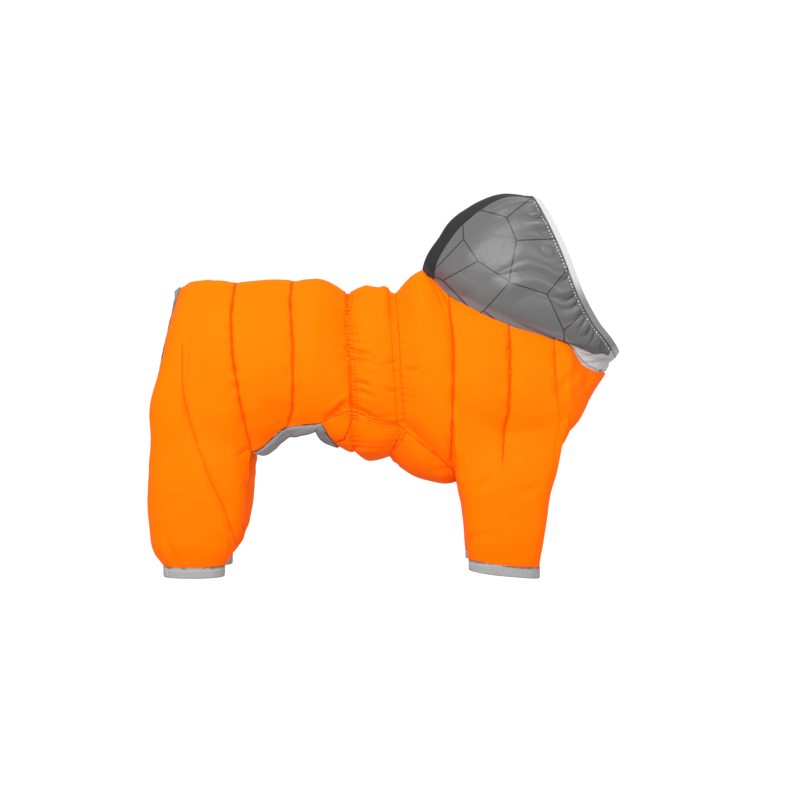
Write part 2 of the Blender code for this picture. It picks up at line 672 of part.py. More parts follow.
spine, spine_ups = zip_spine()
half_tape, half_chain = ZIP_TAPE_WIDTH / 2, ZIP_CHAIN_WIDTH / 2
zip_profile = [
    (-half_tape, 0), (half_tape, 0), (half_tape, ZIP_TAPE_WALL), (half_chain, ZIP_TAPE_WALL),
    (half_chain, ZIP_CHAIN_TOP), (-half_chain, ZIP_CHAIN_TOP), (-half_chain, ZIP_TAPE_WALL),
    (-half_tape, ZIP_TAPE_WALL),
]
zip_vertices = []
for place, up in zip(spine, spine_ups):
    zip_vertices += [place + np.array((0.0, across, 0.0)) + up * height for across, height in zip_profile]
size = len(zip_profile)
zip_faces = [list(reversed(range(size))), list(range(len(zip_vertices) - size, len(zip_vertices)))]
for low in range(0, len(zip_vertices) - size, size):
    for n in range(size):
        after = (n + 1) % size
        zip_faces.append([low + n, low + after, low + size + after, low + size + n])
add_object("zip_tape", zip_vertices, zip_faces, "zip")


# ---- Slider and pull tab, in their own frame: X along the zip, Z up from it, origin on the pull tab's pivot ----
def box(name, low, high, look):
    """A block from one corner to the other, in millimetres from the pivot."""
    spans = [(low[n], high[n]) for n in range(3)]
    corners = [(x, y, z) for z in spans[2] for y in spans[1] for x in spans[0]]
    faces = [(0, 2, 3, 1), (4, 5, 7, 6), (0, 1, 5, 4), (2, 6, 7, 3), (0, 4, 6, 2), (1, 3, 7, 5)]
    return add_object(name, corners, faces, look)


def combine(target, helper, operation):
    """Joins a helper block to a piece or cuts it from the piece. The helper itself isn't part of the garment."""
    helper.hide_render = True
    helper.display_type = "WIRE"
    boolean = target.modifiers.new(helper.name, "BOOLEAN")
    boolean.operation = operation
    boolean.solver = "EXACT"
    boolean.object = helper


slope = unit(spine[-1] - spine[-2])
slider_up = np.array((-slope[2], 0.0, slope[0]))
pivot = spine[-1] - slope * SLIDER_TO_HOOD + slider_up * PIVOT_HEIGHT
plate_top = SLIDER_TOP - PIVOT_HEIGHT
flange_low = ZIP_TAPE_WALL + SEAM_GAP - PIVOT_HEIGHT
chain_side = half_chain + SEAM_GAP
chain_clear = ZIP_CHAIN_TOP + SEAM_GAP - PIVOT_HEIGHT
half_window = WINDOW / 2
half_bridge = BRIDGE_WIDTH / 2
arch = half_window + BRIDGE_WALL
half_pull, half_wall = PULL_WIDTH / 2, PULL_WALL / 2

slider = box("zip_slider", (-arch, -SLIDER_WIDTH / 2, flange_low),
             (SLIDER_LENGTH - arch, SLIDER_WIDTH / 2, plate_top), "steel")
channel = box("chain_channel", (-SLIDER_LENGTH, -chain_side, flange_low - 1),
              (SLIDER_LENGTH, chain_side, chain_clear), "steel")
bridge = box("slider_bridge", (-arch, -half_bridge, plate_top - 0.6), (arch, half_bridge, arch), "steel")
window = box("bridge_window", (-half_window, -SLIDER_WIDTH, plate_top), (half_window, SLIDER_WIDTH, half_window),
             "steel")
combine(slider, channel, "DIFFERENCE")
combine(slider, bridge, "UNION")
combine(slider, window, "DIFFERENCE")

pull = box("zip_pull", (half_wall - PULL_LENGTH, -half_pull, -half_wall), (half_wall, half_pull, half_wall), "zip")
eye = box("pull_eye", (-half_wall - PULL_EYE[1], -PULL_EYE[0] / 2, -PULL_WALL),
          (-half_wall, PULL_EYE[0] / 2, PULL_WALL), "zip")
combine(pull, eye, "DIFFERENCE")
rounding = pull.modifiers.new("rounding", "BEVEL")
rounding.width = 0.25 * MM
rounding.segments = 2

for piece, tilt in ((slider, 0), (channel, 0), (bridge, 0), (window, 0), (pull, PULL_TILT), (eye, PULL_TILT)):
    piece.location = [value * MM for value in pivot]
    piece.rotation_euler = (0.0, -math.atan2(slope[2], slope[0]) - math.radians(tilt), 0.0)
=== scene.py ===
import math

import bmesh
import bpy
import numpy as np
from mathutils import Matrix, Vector
from mathutils.bvhtree import BVHTree


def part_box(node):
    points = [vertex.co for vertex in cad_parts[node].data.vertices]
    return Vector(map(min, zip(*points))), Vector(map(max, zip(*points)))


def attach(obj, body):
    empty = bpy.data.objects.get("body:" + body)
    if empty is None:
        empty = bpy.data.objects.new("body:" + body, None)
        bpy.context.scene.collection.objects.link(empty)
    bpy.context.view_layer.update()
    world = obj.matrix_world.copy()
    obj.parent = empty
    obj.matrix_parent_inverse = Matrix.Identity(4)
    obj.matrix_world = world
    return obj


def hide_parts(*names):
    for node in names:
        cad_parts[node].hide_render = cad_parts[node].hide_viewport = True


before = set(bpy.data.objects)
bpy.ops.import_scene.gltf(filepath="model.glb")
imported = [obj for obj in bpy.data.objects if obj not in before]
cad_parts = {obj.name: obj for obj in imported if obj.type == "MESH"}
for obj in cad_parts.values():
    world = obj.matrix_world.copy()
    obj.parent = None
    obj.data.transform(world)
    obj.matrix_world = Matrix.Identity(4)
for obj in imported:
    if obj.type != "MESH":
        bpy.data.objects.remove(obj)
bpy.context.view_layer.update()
MM = 0.001

# ------------------------------------------------------------------------------------------------
# Camera and studio: a low side view through a long lens, a pale seamless floor, an even white
# surround and three soft lamps, two on the near side and one behind.
LOOK_AT = Vector((0.0275, 0.0, -0.1184))
LOOK_DOWN = math.radians(3.0)
CAMERA_DISTANCE = 2.0
LAMPS = (  # name, place, size, power
    ("key_lamp", (-0.6, -1.5, 1.0), 0.8, 37.0),
    ("near_lamp", (0.75, -1.5, 0.5), 0.6, 9.0),
    ("far_lamp", (0.3, 1.3, 1.2), 1.0, 22.0),
)
LAMPS_AIM = Vector((0.02, 0, -0.1))
FLOOR_REACH, FLOOR_HEIGHT = 4.0, -0.353

lens = bpy.data.cameras.new("side_camera")
lens.lens = 81.8
lens.clip_start = 0.1
camera = bpy.data.objects.new("side_camera", lens)
bpy.context.scene.collection.objects.link(camera)
camera.location = LOOK_AT + CAMERA_DISTANCE * Vector((0, -math.cos(LOOK_DOWN), math.sin(LOOK_DOWN)))
camera.rotation_euler = (math.radians(90) - LOOK_DOWN, 0, 0)
bpy.context.scene.camera = camera
bpy.context.scene.view_settings.view_transform = "Standard"


def add_node(tree, kind, values=None, **settings):
    """A shader node with its settings and with the values of its inputs."""
    node = tree.nodes.new("ShaderNode" + kind)
    for name, value in settings.items():
        setattr(node, name, value)
    for socket, value in (values or {}).items():
        node.inputs[socket].default_value = value
    return node


surround = bpy.data.worlds.new("surround")
surround.use_nodes = True
air = surround.node_tree
air.nodes["Background"].inputs["Color"].default_value = (1, 1, 1, 1)
seen = add_node(air, "LightPath")
amount = add_node(air, "MapRange", {"To Min": 0.9, "To Max": 1.1})
air.links.new(seen.outputs["Is Camera Ray"], amount.inputs["Value"])
air.links.new(amount.outputs["Result"], air.nodes["Background"].inputs["Strength"])
bpy.context.scene.world = surround

for name, place, size, power in LAMPS:
    lamp = bpy.data.lights.new(name, "AREA")
    lamp.shape = "DISK"
    lamp.size = size
    lamp.energy = power
    stand = bpy.data.objects.new(name, lamp)
    stand.location = place
    stand.rotation_euler = (Vector(place) - LAMPS_AIM).to_track_quat("Z", "Y").to_euler()
    stand.visible_glossy = name != "far_lamp"
    bpy.context.scene.collection.objects.link(stand)

bm = bmesh.new()
bmesh.ops.create_grid(bm, x_segments=2, y_segments=2, size=FLOOR_REACH)
bmesh.ops.translate(bm, verts=bm.verts, vec=(0, 0, FLOOR_HEIGHT))
floor_mesh = bpy.data.meshes.new("studio_floor")
bm.to_mesh(floor_mesh)
bm.free()
floor = bpy.data.objects.new("studio_floor", floor_mesh)
bpy.context.scene.collection.objects.link(floor)
paper = bpy.data.materials.new("pale_floor")
paper.use_nodes = True
links = paper.node_tree.links
matt = paper.node_tree.nodes["Principled BSDF"]
for socket, value in (("Base Color", (0.5, 0.5, 0.5, 1)), ("Roughness", 0.9), ("Specular IOR Level", 0.0)):
    matt.inputs[socket].default_value = value
bright = add_node(paper.node_tree, "Emission", {"Strength": 1.1})
seen = add_node(paper.node_tree, "LightPath")
choice = add_node(paper.node_tree, "MixShader")
links.new(seen.outputs["Is Camera Ray"], choice.inputs["Fac"])
links.new(matt.outputs[0], choice.inputs[1])
links.new(bright.outputs[0], choice.inputs[2])
links.new(choice.outputs[0], paper.node_tree.nodes["Material Output"].inputs["Surface"])
floor_mesh.materials.append(paper)

# ------------------------------------------------------------------------------------------------
# The padded shell: thin orange taffeta outside, a smooth lining inside and a light filling between,
# held by rows of quilting. Each piece is rounded off from its CAD solid, then quilted and creased.
WAVE_SCALE_AT_1_MM = 314.0
NOISE_SCALE_AT_1_MM = 1000.0
TONE_SPREAD = 0.06
OUTSIDE, INSIDE, RIM = 0, 1, 2
WELD_GAP = 1e-5
CORNER_ANGLE = math.radians(50)
FOLD_ANGLE = math.radians(17)
RIM_GROWTH = 0.6 * MM
SEAM_REACH = 6 * MM
WANDER_WAVES, WANDER_HEIGHT = 14, 2.6


def cloth_grain():
    """A shader group: fine threads and soft crinkles of a cloth as a normal, and patches of tone. Both sizes
    are in mm."""
    group = bpy.data.node_groups.new("cloth_grain", "ShaderNodeTree")
    for name, value in (("Thread size", 0.5), ("Thread depth", 0.1), ("Crinkle size", 14.0),
                        ("Crinkle depth", 0.3)):
        group.interface.new_socket(name, in_out="INPUT", socket_type="NodeSocketFloat").default_value = value
    group.interface.new_socket("Normal", in_out="OUTPUT", socket_type="NodeSocketVector")
    group.interface.new_socket("Patches", in_out="OUTPUT", socket_type="NodeSocketFloat")
    links = group.links
    given, result = group.nodes.new("NodeGroupInput"), group.nodes.new("NodeGroupOutput")
    place = add_node(group, "TexCoord")
    weave = add_node(group, "Math", operation="MULTIPLY")
    for number, axis in enumerate("XZ"):
        wave = add_node(group, "TexWave", {"Distortion": 0.4, "Detail": 1.0}, bands_direction=axis)
        pitch = add_node(group, "Math", {0: WAVE_SCALE_AT_1_MM}, operation="DIVIDE")
        links.new(given.outputs["Thread size"], pitch.inputs[1])
        links.new(pitch.outputs[0], wave.inputs["Scale"])
        links.new(place.outputs["Object"], wave.inputs["Vector"])
        links.new(wave.outputs["Fac"], weave.inputs[number])
    crinkle = add_node(group, "TexNoise", {"Detail": 5.0, "Roughness": 0.55, "Distortion": 0.9})
    size = add_node(group, "Math", {0: NOISE_SCALE_AT_1_MM}, operation="DIVIDE")
    links.new(given.outputs["Crinkle size"], size.inputs[1])
    links.new(size.outputs[0], crinkle.inputs["Scale"])
    links.new(place.outputs["Object"], crinkle.inputs["Vector"])
    soft = add_node(group, "Bump", {"Distance": 0.002})
    links.new(given.outputs["Crinkle depth"], soft.inputs["Strength"])
    links.new(crinkle.outputs["Fac"], soft.inputs["Height"])
    fine = add_node(group, "Bump", {"Distance": 0.0002})
    links.new(given.outputs["Thread depth"], fine.inputs["Strength"])
    links.new(weave.outputs[0], fine.inputs["Height"])
    links.new(soft.outputs["Normal"], fine.inputs["Normal"])
    links.new(fine.outputs["Normal"], result.inputs["Normal"])
    patches = add_node(group, "TexNoise", {"Scale": 22.0, "Detail": 3.0})
    links.new(place.outputs["Object"], patches.inputs["Vector"])
    links.new(patches.outputs["Fac"], result.inputs["Patches"])
    return group


GRAIN = cloth_grain()


def seam_and_painted_crease_line():
    """A shader group: the thin dark line that a sewn row leaves, also drawn along creases as painted shade. X
    is the distance across it in mm, Y the place along it and Z its strength."""
    group = bpy.data.node_groups.new("seam_and_painted_crease_line", "ShaderNodeTree")
    for name in "XYZ":
        group.interface.new_socket(name, in_out="INPUT", socket_type="NodeSocketFloat")
    group.interface.new_socket("Line", in_out="OUTPUT", socket_type="NodeSocketFloat")
    links = group.links
    given, result = group.nodes.new("NodeGroupInput"), group.nodes.new("NodeGroupOutput")
    waver = add_node(group, "TexNoise", {"Scale": 0.16, "Detail": 3.0}, noise_dimensions="1D")
    links.new(given.outputs["Y"], waver.inputs["W"])
    spread = add_node(group, "MapRange", {"To Min": -0.8, "To Max": 0.8})
    links.new(waver.outputs["Fac"], spread.inputs["Value"])
    across = add_node(group, "Math", operation="ADD")
    links.new(given.outputs["X"], across.inputs[0])
    links.new(spread.outputs["Result"], across.inputs[1])
    gap = add_node(group, "Math", operation="ABSOLUTE")
    links.new(across.outputs[0], gap.inputs[0])
    edge = add_node(group, "MapRange", {"From Min": 0.35, "From Max": 1.5, "To Min": 1.0, "To Max": 0.0},
                    interpolation_type="SMOOTHSTEP")
    links.new(gap.outputs[0], edge.inputs["Value"])
    strength = add_node(group, "Math", operation="MULTIPLY")
    links.new(edge.outputs["Result"], strength.inputs[0])
    links.new(given.outputs["Z"], strength.inputs[1])
    links.new(strength.outputs[0], result.inputs["Line"])
    return group


SEAM_AND_PAINTED_CREASE_LINE = seam_and_painted_crease_line()


def cloth(name, colour, dark, roughness, specular=0.3, thread=0.45, depth=0.15, crinkle=14.0,
          crinkle_depth=0.25):
    """A cloth whose tone wanders a little around its colour and darkens along its sewn lines, and along some
    creases as painted shade.
    """
    made = bpy.data.materials.new(name)
    made.use_nodes = True
    tree, links = made.node_tree, made.node_tree.links
    face = tree.nodes["Principled BSDF"]
    face.inputs["Roughness"].default_value = roughness
    face.inputs["Specular IOR Level"].default_value = specular
    grain = add_node(tree, "Group", {"Thread size": thread, "Thread depth": depth, "Crinkle size": crinkle,
                                     "Crinkle depth": crinkle_depth}, node_tree=GRAIN)
    sewn = add_node(tree, "Attribute", attribute_name="sewn")
    parts = add_node(tree, "SeparateXYZ")
    seam_and_painted_crease_node = add_node(tree, "Group", node_tree=SEAM_AND_PAINTED_CREASE_LINE)
    links.new(sewn.outputs["Vector"], parts.inputs["Vector"])
    for part in "XYZ":
        links.new(parts.outputs[part], seam_and_painted_crease_node.inputs[part])
    tone = add_node(tree, "Mix", data_type="RGBA")
    for socket, share in (("A", 1 - TONE_SPREAD), ("B", 1 + TONE_SPREAD)):
        tone.inputs[socket].default_value = (*[c * share for c in colour], 1)
    line = add_node(tree, "Mix", {"B": (*dark, 1)}, data_type="RGBA")
    links.new(grain.outputs["Patches"], tone.inputs["Factor"])
    links.new(seam_and_painted_crease_node.outputs["Line"], line.inputs["Factor"])
    links.new(tone.outputs["Result"], line.inputs["A"])
    links.new(line.outputs["Result"], face.inputs["Base Color"])
    links.new(grain.outputs["Normal"], face.inputs["Normal"])
    return made


SHELL = cloth("orange_taffeta", (0.95, 0.127, 0.0), (0.78, 0.045, 0.0), 0.62, specular=0.02,
              crinkle_depth=0.12)
LINING = cloth("orange_lining", (0.8, 0.11, 0.0), (0.5, 0.04, 0.0), 0.5, specular=0.1, crinkle=9.0)


def sorted_sides(node):
    """A welded copy of a CAD panel's mesh, its faces sorted into outside, inside and rim. The rim is grown a
    little, so that neighbouring pieces touch."""
    bm = bmesh.new()
    bm.from_mesh(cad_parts[node].data)
    bmesh.ops.remove_doubles(bm, verts=bm.verts, dist=WELD_GAP)
    bmesh.ops.join_triangles(bm, faces=bm.faces, angle_face_threshold=math.radians(40),
                             angle_shape_threshold=math.radians(70))
    crease = bm.edges.layers.float.new("crease_edge")
    corners = {e for e in bm.edges if e.is_manifold and e.is_convex and e.calc_face_angle() > CORNER_ANGLE}
    for edge in corners:
        edge[crease] = 1.0
    found, left = [], set(bm.faces)
    while left:
        side = [left.pop()]
        for face in side:
            for edge in face.edges:
                if edge not in corners:
                    for other in edge.link_faces:
                        if other in left:
                            left.remove(other)
                            side.append(other)
        found.append((sum(face.calc_area() for face in side), side))
    found.sort(key=lambda entry: -entry[0])
    for place, (_, side) in enumerate(found):
        for face in side:
            face.material_index = min(place, RIM)
            face.smooth = True
    grown = {}
    for face in bm.faces:
        if face.material_index == RIM:
            for point in face.verts:
                grown[point] = grown.get(point, Vector()) + face.normal
    for point, way in grown.items():
        point.co += way.normalized() * RIM_GROWTH
    for edge in bm.edges:
        if edge.is_manifold and not edge.is_convex and edge.calc_face_angle() > FOLD_ANGLE:
            if edge.link_faces[0].material_index == OUTSIDE:
                edge[crease] = 0.75
    mesh = bpy.data.meshes.new(node)
    bm.to_mesh(mesh)
    bm.free()
    return mesh


def close_seam(bm, start, fill):
    """Joins two panels along their common rim, deletes what the seam hides and fills the seam out. The
    second panel's points begin at that number."""
    crease = bm.edges.layers.float["crease_edge"]
    bm.verts.index_update()
    rim = {side: [[], []] for side in (OUTSIDE, INSIDE)}
    for face in bm.faces:
        for point in face.verts if face.material_index == RIM else ():
            for side in rim:
                group = rim[side][point.index >= start]
                if point not in group and any(f.material_index == side for f in point.link_faces):
                    group.append(point)
    joined = {}
    for first, second in rim.values():
        here, there = (np.array([p.co for p in group]) for group in (first, second))
        gaps = np.linalg.norm(here[:, None] - there[None], axis=2)
        for i, point in enumerate(first):
            j = int(gaps[i].argmin())
            if gaps[i, j] < SEAM_REACH and gaps[:, j].argmin() == i:
                point.co = (point.co + second[j].co) / 2
                joined[second[j]] = point
    matched = set(joined) | set(joined.values())
    hidden = [f for f in bm.faces if f.material_index == RIM and all(v in matched for v in f.verts)]
    seam = list(joined.values())
    bmesh.ops.delete(bm, geom=hidden, context="FACES_ONLY")
    bmesh.ops.delete(bm, geom=[e for e in bm.edges if not e.link_faces], context="EDGES")
    joined = {a: b for a, b in joined.items() if a.is_valid and b.is_valid}
    bmesh.ops.weld_verts(bm, targetmap=joined)
    seam = [v for v in seam if v.is_valid]
    bm.normal_update()
    for edge in {e for v in seam for e in v.link_edges}:
        if edge.is_manifold and edge.calc_face_angle() < CORNER_ANGLE:
            edge[crease] = 0.0
    for point in seam:
        if all(f.material_index == OUTSIDE for f in point.link_faces):
            point.co += point.normal * fill * MM


def round_off(panel, levels):
    """Subdivides a panel into its rounded form, with its points held out so that it keeps its size."""
    coarse = panel.data
    rounding = panel.modifiers.new("rounding", "SUBSURF")
    rounding.levels = rounding.render_levels = levels
    wanted = np.empty(len(coarse.vertices) * 3)
    coarse.vertices.foreach_get("co", wanted)
    held = wanted.copy()
    for _ in range(2):
        fine = bpy.data.meshes.new_from_object(panel.evaluated_get(bpy.context.evaluated_depsgraph_get()))
        reached = np.empty(len(fine.vertices) * 3)
        fine.vertices.foreach_get("co", reached)
        held += 0.7 * (wanted - reached[:len(wanted)])
        coarse.vertices.foreach_set("co", held)
        coarse.update()
        bpy.data.meshes.remove(fine)
    fine = bpy.data.meshes.new_from_object(panel.evaluated_get(bpy.context.evaluated_depsgraph_get()))
    fine.name = panel.name
    panel.modifiers.clear()
    panel.data = fine
    bpy.data.meshes.remove(coarse)


def cut_panel(name, cad_nodes, levels, finishes, fill=0.0):
    """A rounded panel over one CAD panel, or over two that meet, with the seam filled out by some mm. It has
    one finish each for its outside, inside and rim."""
    bm = bmesh.new()
    starts = []
    for node in cad_nodes:
        starts.append(len(bm.verts))
        bm.from_mesh(sorted_sides(node))
    if len(cad_nodes) > 1:
        close_seam(bm, starts[1], fill)
    mesh = bpy.data.meshes.new(name)
    bm.to_mesh(mesh)
    bm.free()
    panel = bpy.data.objects.new(name, mesh)
    bpy.context.scene.collection.objects.link(panel)
    round_off(panel, levels)
    panel.data.materials.clear()
    for finish in finishes:
        panel.data.materials.append(finish)
    return panel


def read_points(mesh):
    """Places and normals of a mesh's points, and 1 for each point that lies on the outside alone."""
    count = len(mesh.vertices)
    places, normals = np.empty(count * 3), np.empty(count * 3)
    mesh.vertices.foreach_get("co", places)
    mesh.vertices.foreach_get("normal", normals)
    corner_points, corner_counts, sides = (np.empty(n, np.int32) for n in
                                           (len(mesh.loops), len(mesh.polygons), len(mesh.polygons)))
    mesh.loops.foreach_get("vertex_index", corner_points)
    mesh.polygons.foreach_get("loop_total", corner_counts)
    mesh.polygons.foreach_get("material_index", sides)
    outside = np.ones(count)
    outside[corner_points[np.repeat(sides, corner_counts) > 0]] = 0
    return places.reshape(-1, 3), normals.reshape(-1, 3), outside


def write_points(mesh, places, sewn=None):
    """Puts a mesh's points in their new places, with the distance from a dark line (a sewn line, and on some
    creases painted shade), the place along it and its strength for each, where they are given."""
    mesh.vertices.foreach_set("co", places.astype(np.float32).ravel())
    if sewn is not None:
        mesh.attributes.new("sewn", "FLOAT_VECTOR", "POINT").data.foreach_set(
            "vector", sewn.astype(np.float32).ravel())
    mesh.update()
    mesh.set_sharp_from_angle(angle=math.radians(55))


def uneven(places, size, seed):
    """A smooth wandering value around 0, about 1 high, with hills of that size."""
    chance = np.random.default_rng(seed)
    total = np.zeros(len(places))
    for _ in range(WANDER_WAVES):
        way = chance.normal(size=3)
        way *= chance.uniform(0.6, 1.5) / (np.linalg.norm(way) * size)
        total += np.sin(math.pi * (places @ way) + chance.uniform(0, 7))
    return total / WANDER_HEIGHT


def step(value):
    """Rises smoothly from 0 to 1 as a value does."""
    value = np.clip(value, 0, 1)
    return value * value * (3 - 2 * value)


def hill(value, width):
    """1 where a value is 0, falling to about a third at that width and to nothing past it."""
    return np.exp(-(value / width) ** 2)


def fade_down(places, end, length):
    """1 above, falling to 0 at that height over that length, both in metres."""
    return step((places[:, 2] - end) / length)


# Rows of quilting as they were cut (top, lower seam and middle of the belly as x, z in mm, and the bow),
# and as they hang.
LIFT = 2.6
QUILTING = {
    "hip": ((-151, 11), (-131, -174), (-128, -197), 0),
    "flank": ((-89, 13), (-94, -148), (-88, -170), 1),
    "waist_rear": ((-30, -1), (-24, -134), (-24, -183), -1),
    "waist_front": ((22, -1), (32, -150), (13, -188), 0),
    "shoulder": ((79, -7), (86, -190), (92, -215), 3),
    "chest": ((144, -37), (140, -195), (142, -206), 0),
    "chest_front": ((192, -54), (187, -179), (174, -194), 4),
}
HUNG = {
    "hip": ((-151, 9), (-153, -28), (-150, -70), (-143, -115), (-136, -152), (-132, -170)),
    "flank": ((-89, 12), (-90, -8), (-86, -60), (-86, -98), (-87, -128), (-93, -147)),
    "waist_rear": ((-30, -2), (-30, -34), (-26, -86), (-24, -125), (-24, -183)),
    "waist_front": ((22, -2), (26, -54), (30, -118), (32, -150), (13, -188)),
    "shoulder": ((80, -9), (84, -59), (84, -102), (82, -182), (88, -215)),
    "chest": ((144, -38), (144, -89), (143, -130), (139, -147), (136, -187)),
    "chest_front": ((192, -58), (194, -105), (197, -140), (190, -179)),
}
# Where a row's shift, and the line itself, fade out at the bottom: the height and the length in metres.
SHIFT_ENDS = {"shoulder": (-0.235, 0.06), "chest": (-0.235, 0.06), "chest_front": (-0.175, 0.035)}
USUAL_SHIFT_END = (-0.2, 0.03)
LINE_ENDS = {"shoulder": (-0.215, 0.02), "chest": (-0.195, 0.03), "chest_front": (-0.125, 0.03)}
SHIFT_REACH = 22 * MM


def cut_place(row, z):
    """x of a row of quilting at a height as the CAD panel has it, both in metres."""
    top, seam, belly, bow = QUILTING[row]
    height = z / MM - LIFT
    share = np.clip((top[1] - height) / (top[1] - belly[1]), 0, 1)
    x = np.interp(-height, (-top[1], -seam[1], -belly[1]), (top[0], seam[0], belly[0]))
    return (x + bow * 4 * share * (1 - share)) * MM


def row_place(row, z):
    """x of a row of quilting at a height as it hangs, both in metres."""
    height = z / MM - LIFT
    return np.interp(-height, [-p[1] for p in HUNG[row]], [p[0] for p in HUNG[row]]) * MM


def hang(places):
    """Shifts the cloth beside each row along the body, from where it was cut to where it hangs."""
    for row in QUILTING:
        cut = cut_place(row, places[:, 2])
        shift = row_place(row, places[:, 2]) - cut
        fade = fade_down(places, *SHIFT_ENDS.get(row, USUAL_SHIFT_END))
        places[:, 0] += shift * fade * hill(places[:, 0] - cut, SHIFT_REACH)


# The rows on each kind of panel, with their strength.
PANEL_ROWS = {
    "body_rear": {"hip": 1.0, "flank": 1.0, "waist_rear": 1.0},
    "chest": {"shoulder": 1.0, "chest": 1.0, "chest_front": 0.6},
    "belly_rear": {"waist_rear": 0.3},
    "belly_front": {},
}
# The waist's elastics: the row of each, how far its gathers reach back and forward in mm, and the place of
# the trough that it lies in.
ELASTICS = (("waist_rear", 9, 17, 3.5), ("waist_front", 13, 9, -4))
GATHER_PITCH, FINE_PITCH, GATHER_DEPTH = 8.5, 3.7, 0.95
NAPE_LIFT, WAIST_LIFT = 2.6, 2.4
FAR_FROM_LINE = 99

# Creases and seams laid into the cloth: points as x, z in mm, width and depth in mm, the strength of the dark
# line along it (sewn on a seam, painted shade on a crease), and the side it lies on (-1 near, 1 far, 0 both).
CREASES = [
    (((-204, -58), (-203, -101), (-196, -137), (-185, -170), (-173, -203), (-159, -233), (-148, -269),
      (-143, -292)), 2.6, 1.5, 0.5, 0),
    (((-56, -144), (-50, -135), (-25, -134), (-3, -141), (18, -145), (32, -150), (47, -161), (74, -184),
      (90, -201)), 1.2, 0.5, 0.7, 0),
    (((-227, -252), (-213, -286), (-210, -300)), 3.5, 1.5, 0.0, -1),
    (((-27, -117), (-42, -129)), 2.6, 1.8, 0.5, -1),
    (((-29, -124), (-54, -138)), 3.2, 2.0, 0.45, -1),
    (((-23, -126), (-2, -134)), 2.4, 1.6, 0.35, -1),
    (((-20, -131), (10, -142)), 2.6, 0.9, 0.0, -1),
    (((-22, -67), (-8, -69), (2, -73)), 2.2, 1.7, 0.3, -1),
    (((-22, -77), (-6, -77), (4, -80)), 2.2, 1.5, 0.15, -1),
    (((-22, -98), (-12, -99), (-3, -103)), 2.0, 1.9, 0.5, -1),
    (((-22, -108), (-10, -110), (2, -115)), 2.4, 1.7, 0.3, -1),
    (((25, -76), (13, -79)), 2.4, 1.6, 0.3, -1),
    (((25, -109), (12, -107)), 2.4, 1.7, 0.35, -1),
    (((34, -86), (40, -86), (47, -83)), 2.8, 2.0, 0.25, -1),
    (((199, -72), (206, -93), (200, -108), (207, -132)), 5.5, 3.2, 0.0, -1),
    (((216, -80), (214, -98), (217, -122)), 5.0, 2.6, 0.0, -1),
    (((231, -90), (226, -104), (227, -118)), 4.5, 2.2, 0.0, -1),
    (((-25, -141), (-28, -153), (-33, -162), (-43, -165)), 1.6, 0.9, 0.8, -1),
    (((34, -152), (24, -170), (13, -188)), 2.2, 0.8, 0.6, 0),
    (((46, -163), (60, -172), (76, -186)), 1.5, 0.7, 0.7, -1),
    (((64, -195), (86, -193)), 3.0, 1.2, 0.0, -1),
    (((108, -212), (121, -206), (128, -190)), 4.5, 1.2, 0.0, -1),
    (((176, -206), (166, -214), (150, -217)), 4.5, 1.3, 0.0, -1),
    (((101, -270), (112, -262), (130, -262)), 4.0, 0.9, 0.0, -1),
    (((-132, -168), (-146, -176)), 2.6, 1.3, 0.5, -1),
    (((-150, -258), (-168, -246)), 3.5, 1.0, 0.0, -1),
    (((-93, -147), (-103, -158)), 2.2, 1.0, 0.4, -1),
    (((-205, -255), (-196, -284)), 4.0, 1.2, 0.0, 1),
    (((-26, -112), (-44, -126)), 3.0, 1.3, 0.0, 1),
    (((-22, -70), (0, -75)), 2.2, 1.2, 0.0, 1),
    (((-22, -92), (2, -97)), 2.4, 1.3, 0.0, 1),
    (((30, -95), (46, -92)), 2.8, 1.6, 0.0, 1),
    (((203, -75), (197, -98), (206, -122)), 3.8, 1.7, 0.0, 1),
    (((120, -225), (142, -212)), 4.5, 1.2, 0.0, 1),
    (((-160, -240), (-172, -226)), 4.0, 1.1, 0.0, 1),
]


def path_gap(places, path):
    """Distance of each point from a drawn line in the side view, in mm, and its share of the way along."""
    flat = places[:, [0, 2]] / MM - np.array((0, LIFT))
    best, share = np.full(len(places), 1e3), np.zeros(len(places))
    for number, (a, b) in enumerate(zip(path, path[1:])):
        a, b = np.array(a, float), np.array(b, float)
        along = np.clip((flat - a) @ (b - a) / ((b - a) @ (b - a)), 0, 1)
        gap = np.linalg.norm(flat - a - along[:, None] * (b - a), axis=1)
        closer = gap < best
        best[closer] = gap[closer]
        share[closer] = ((number + along) / (len(path) - 1))[closer]
    return best, share


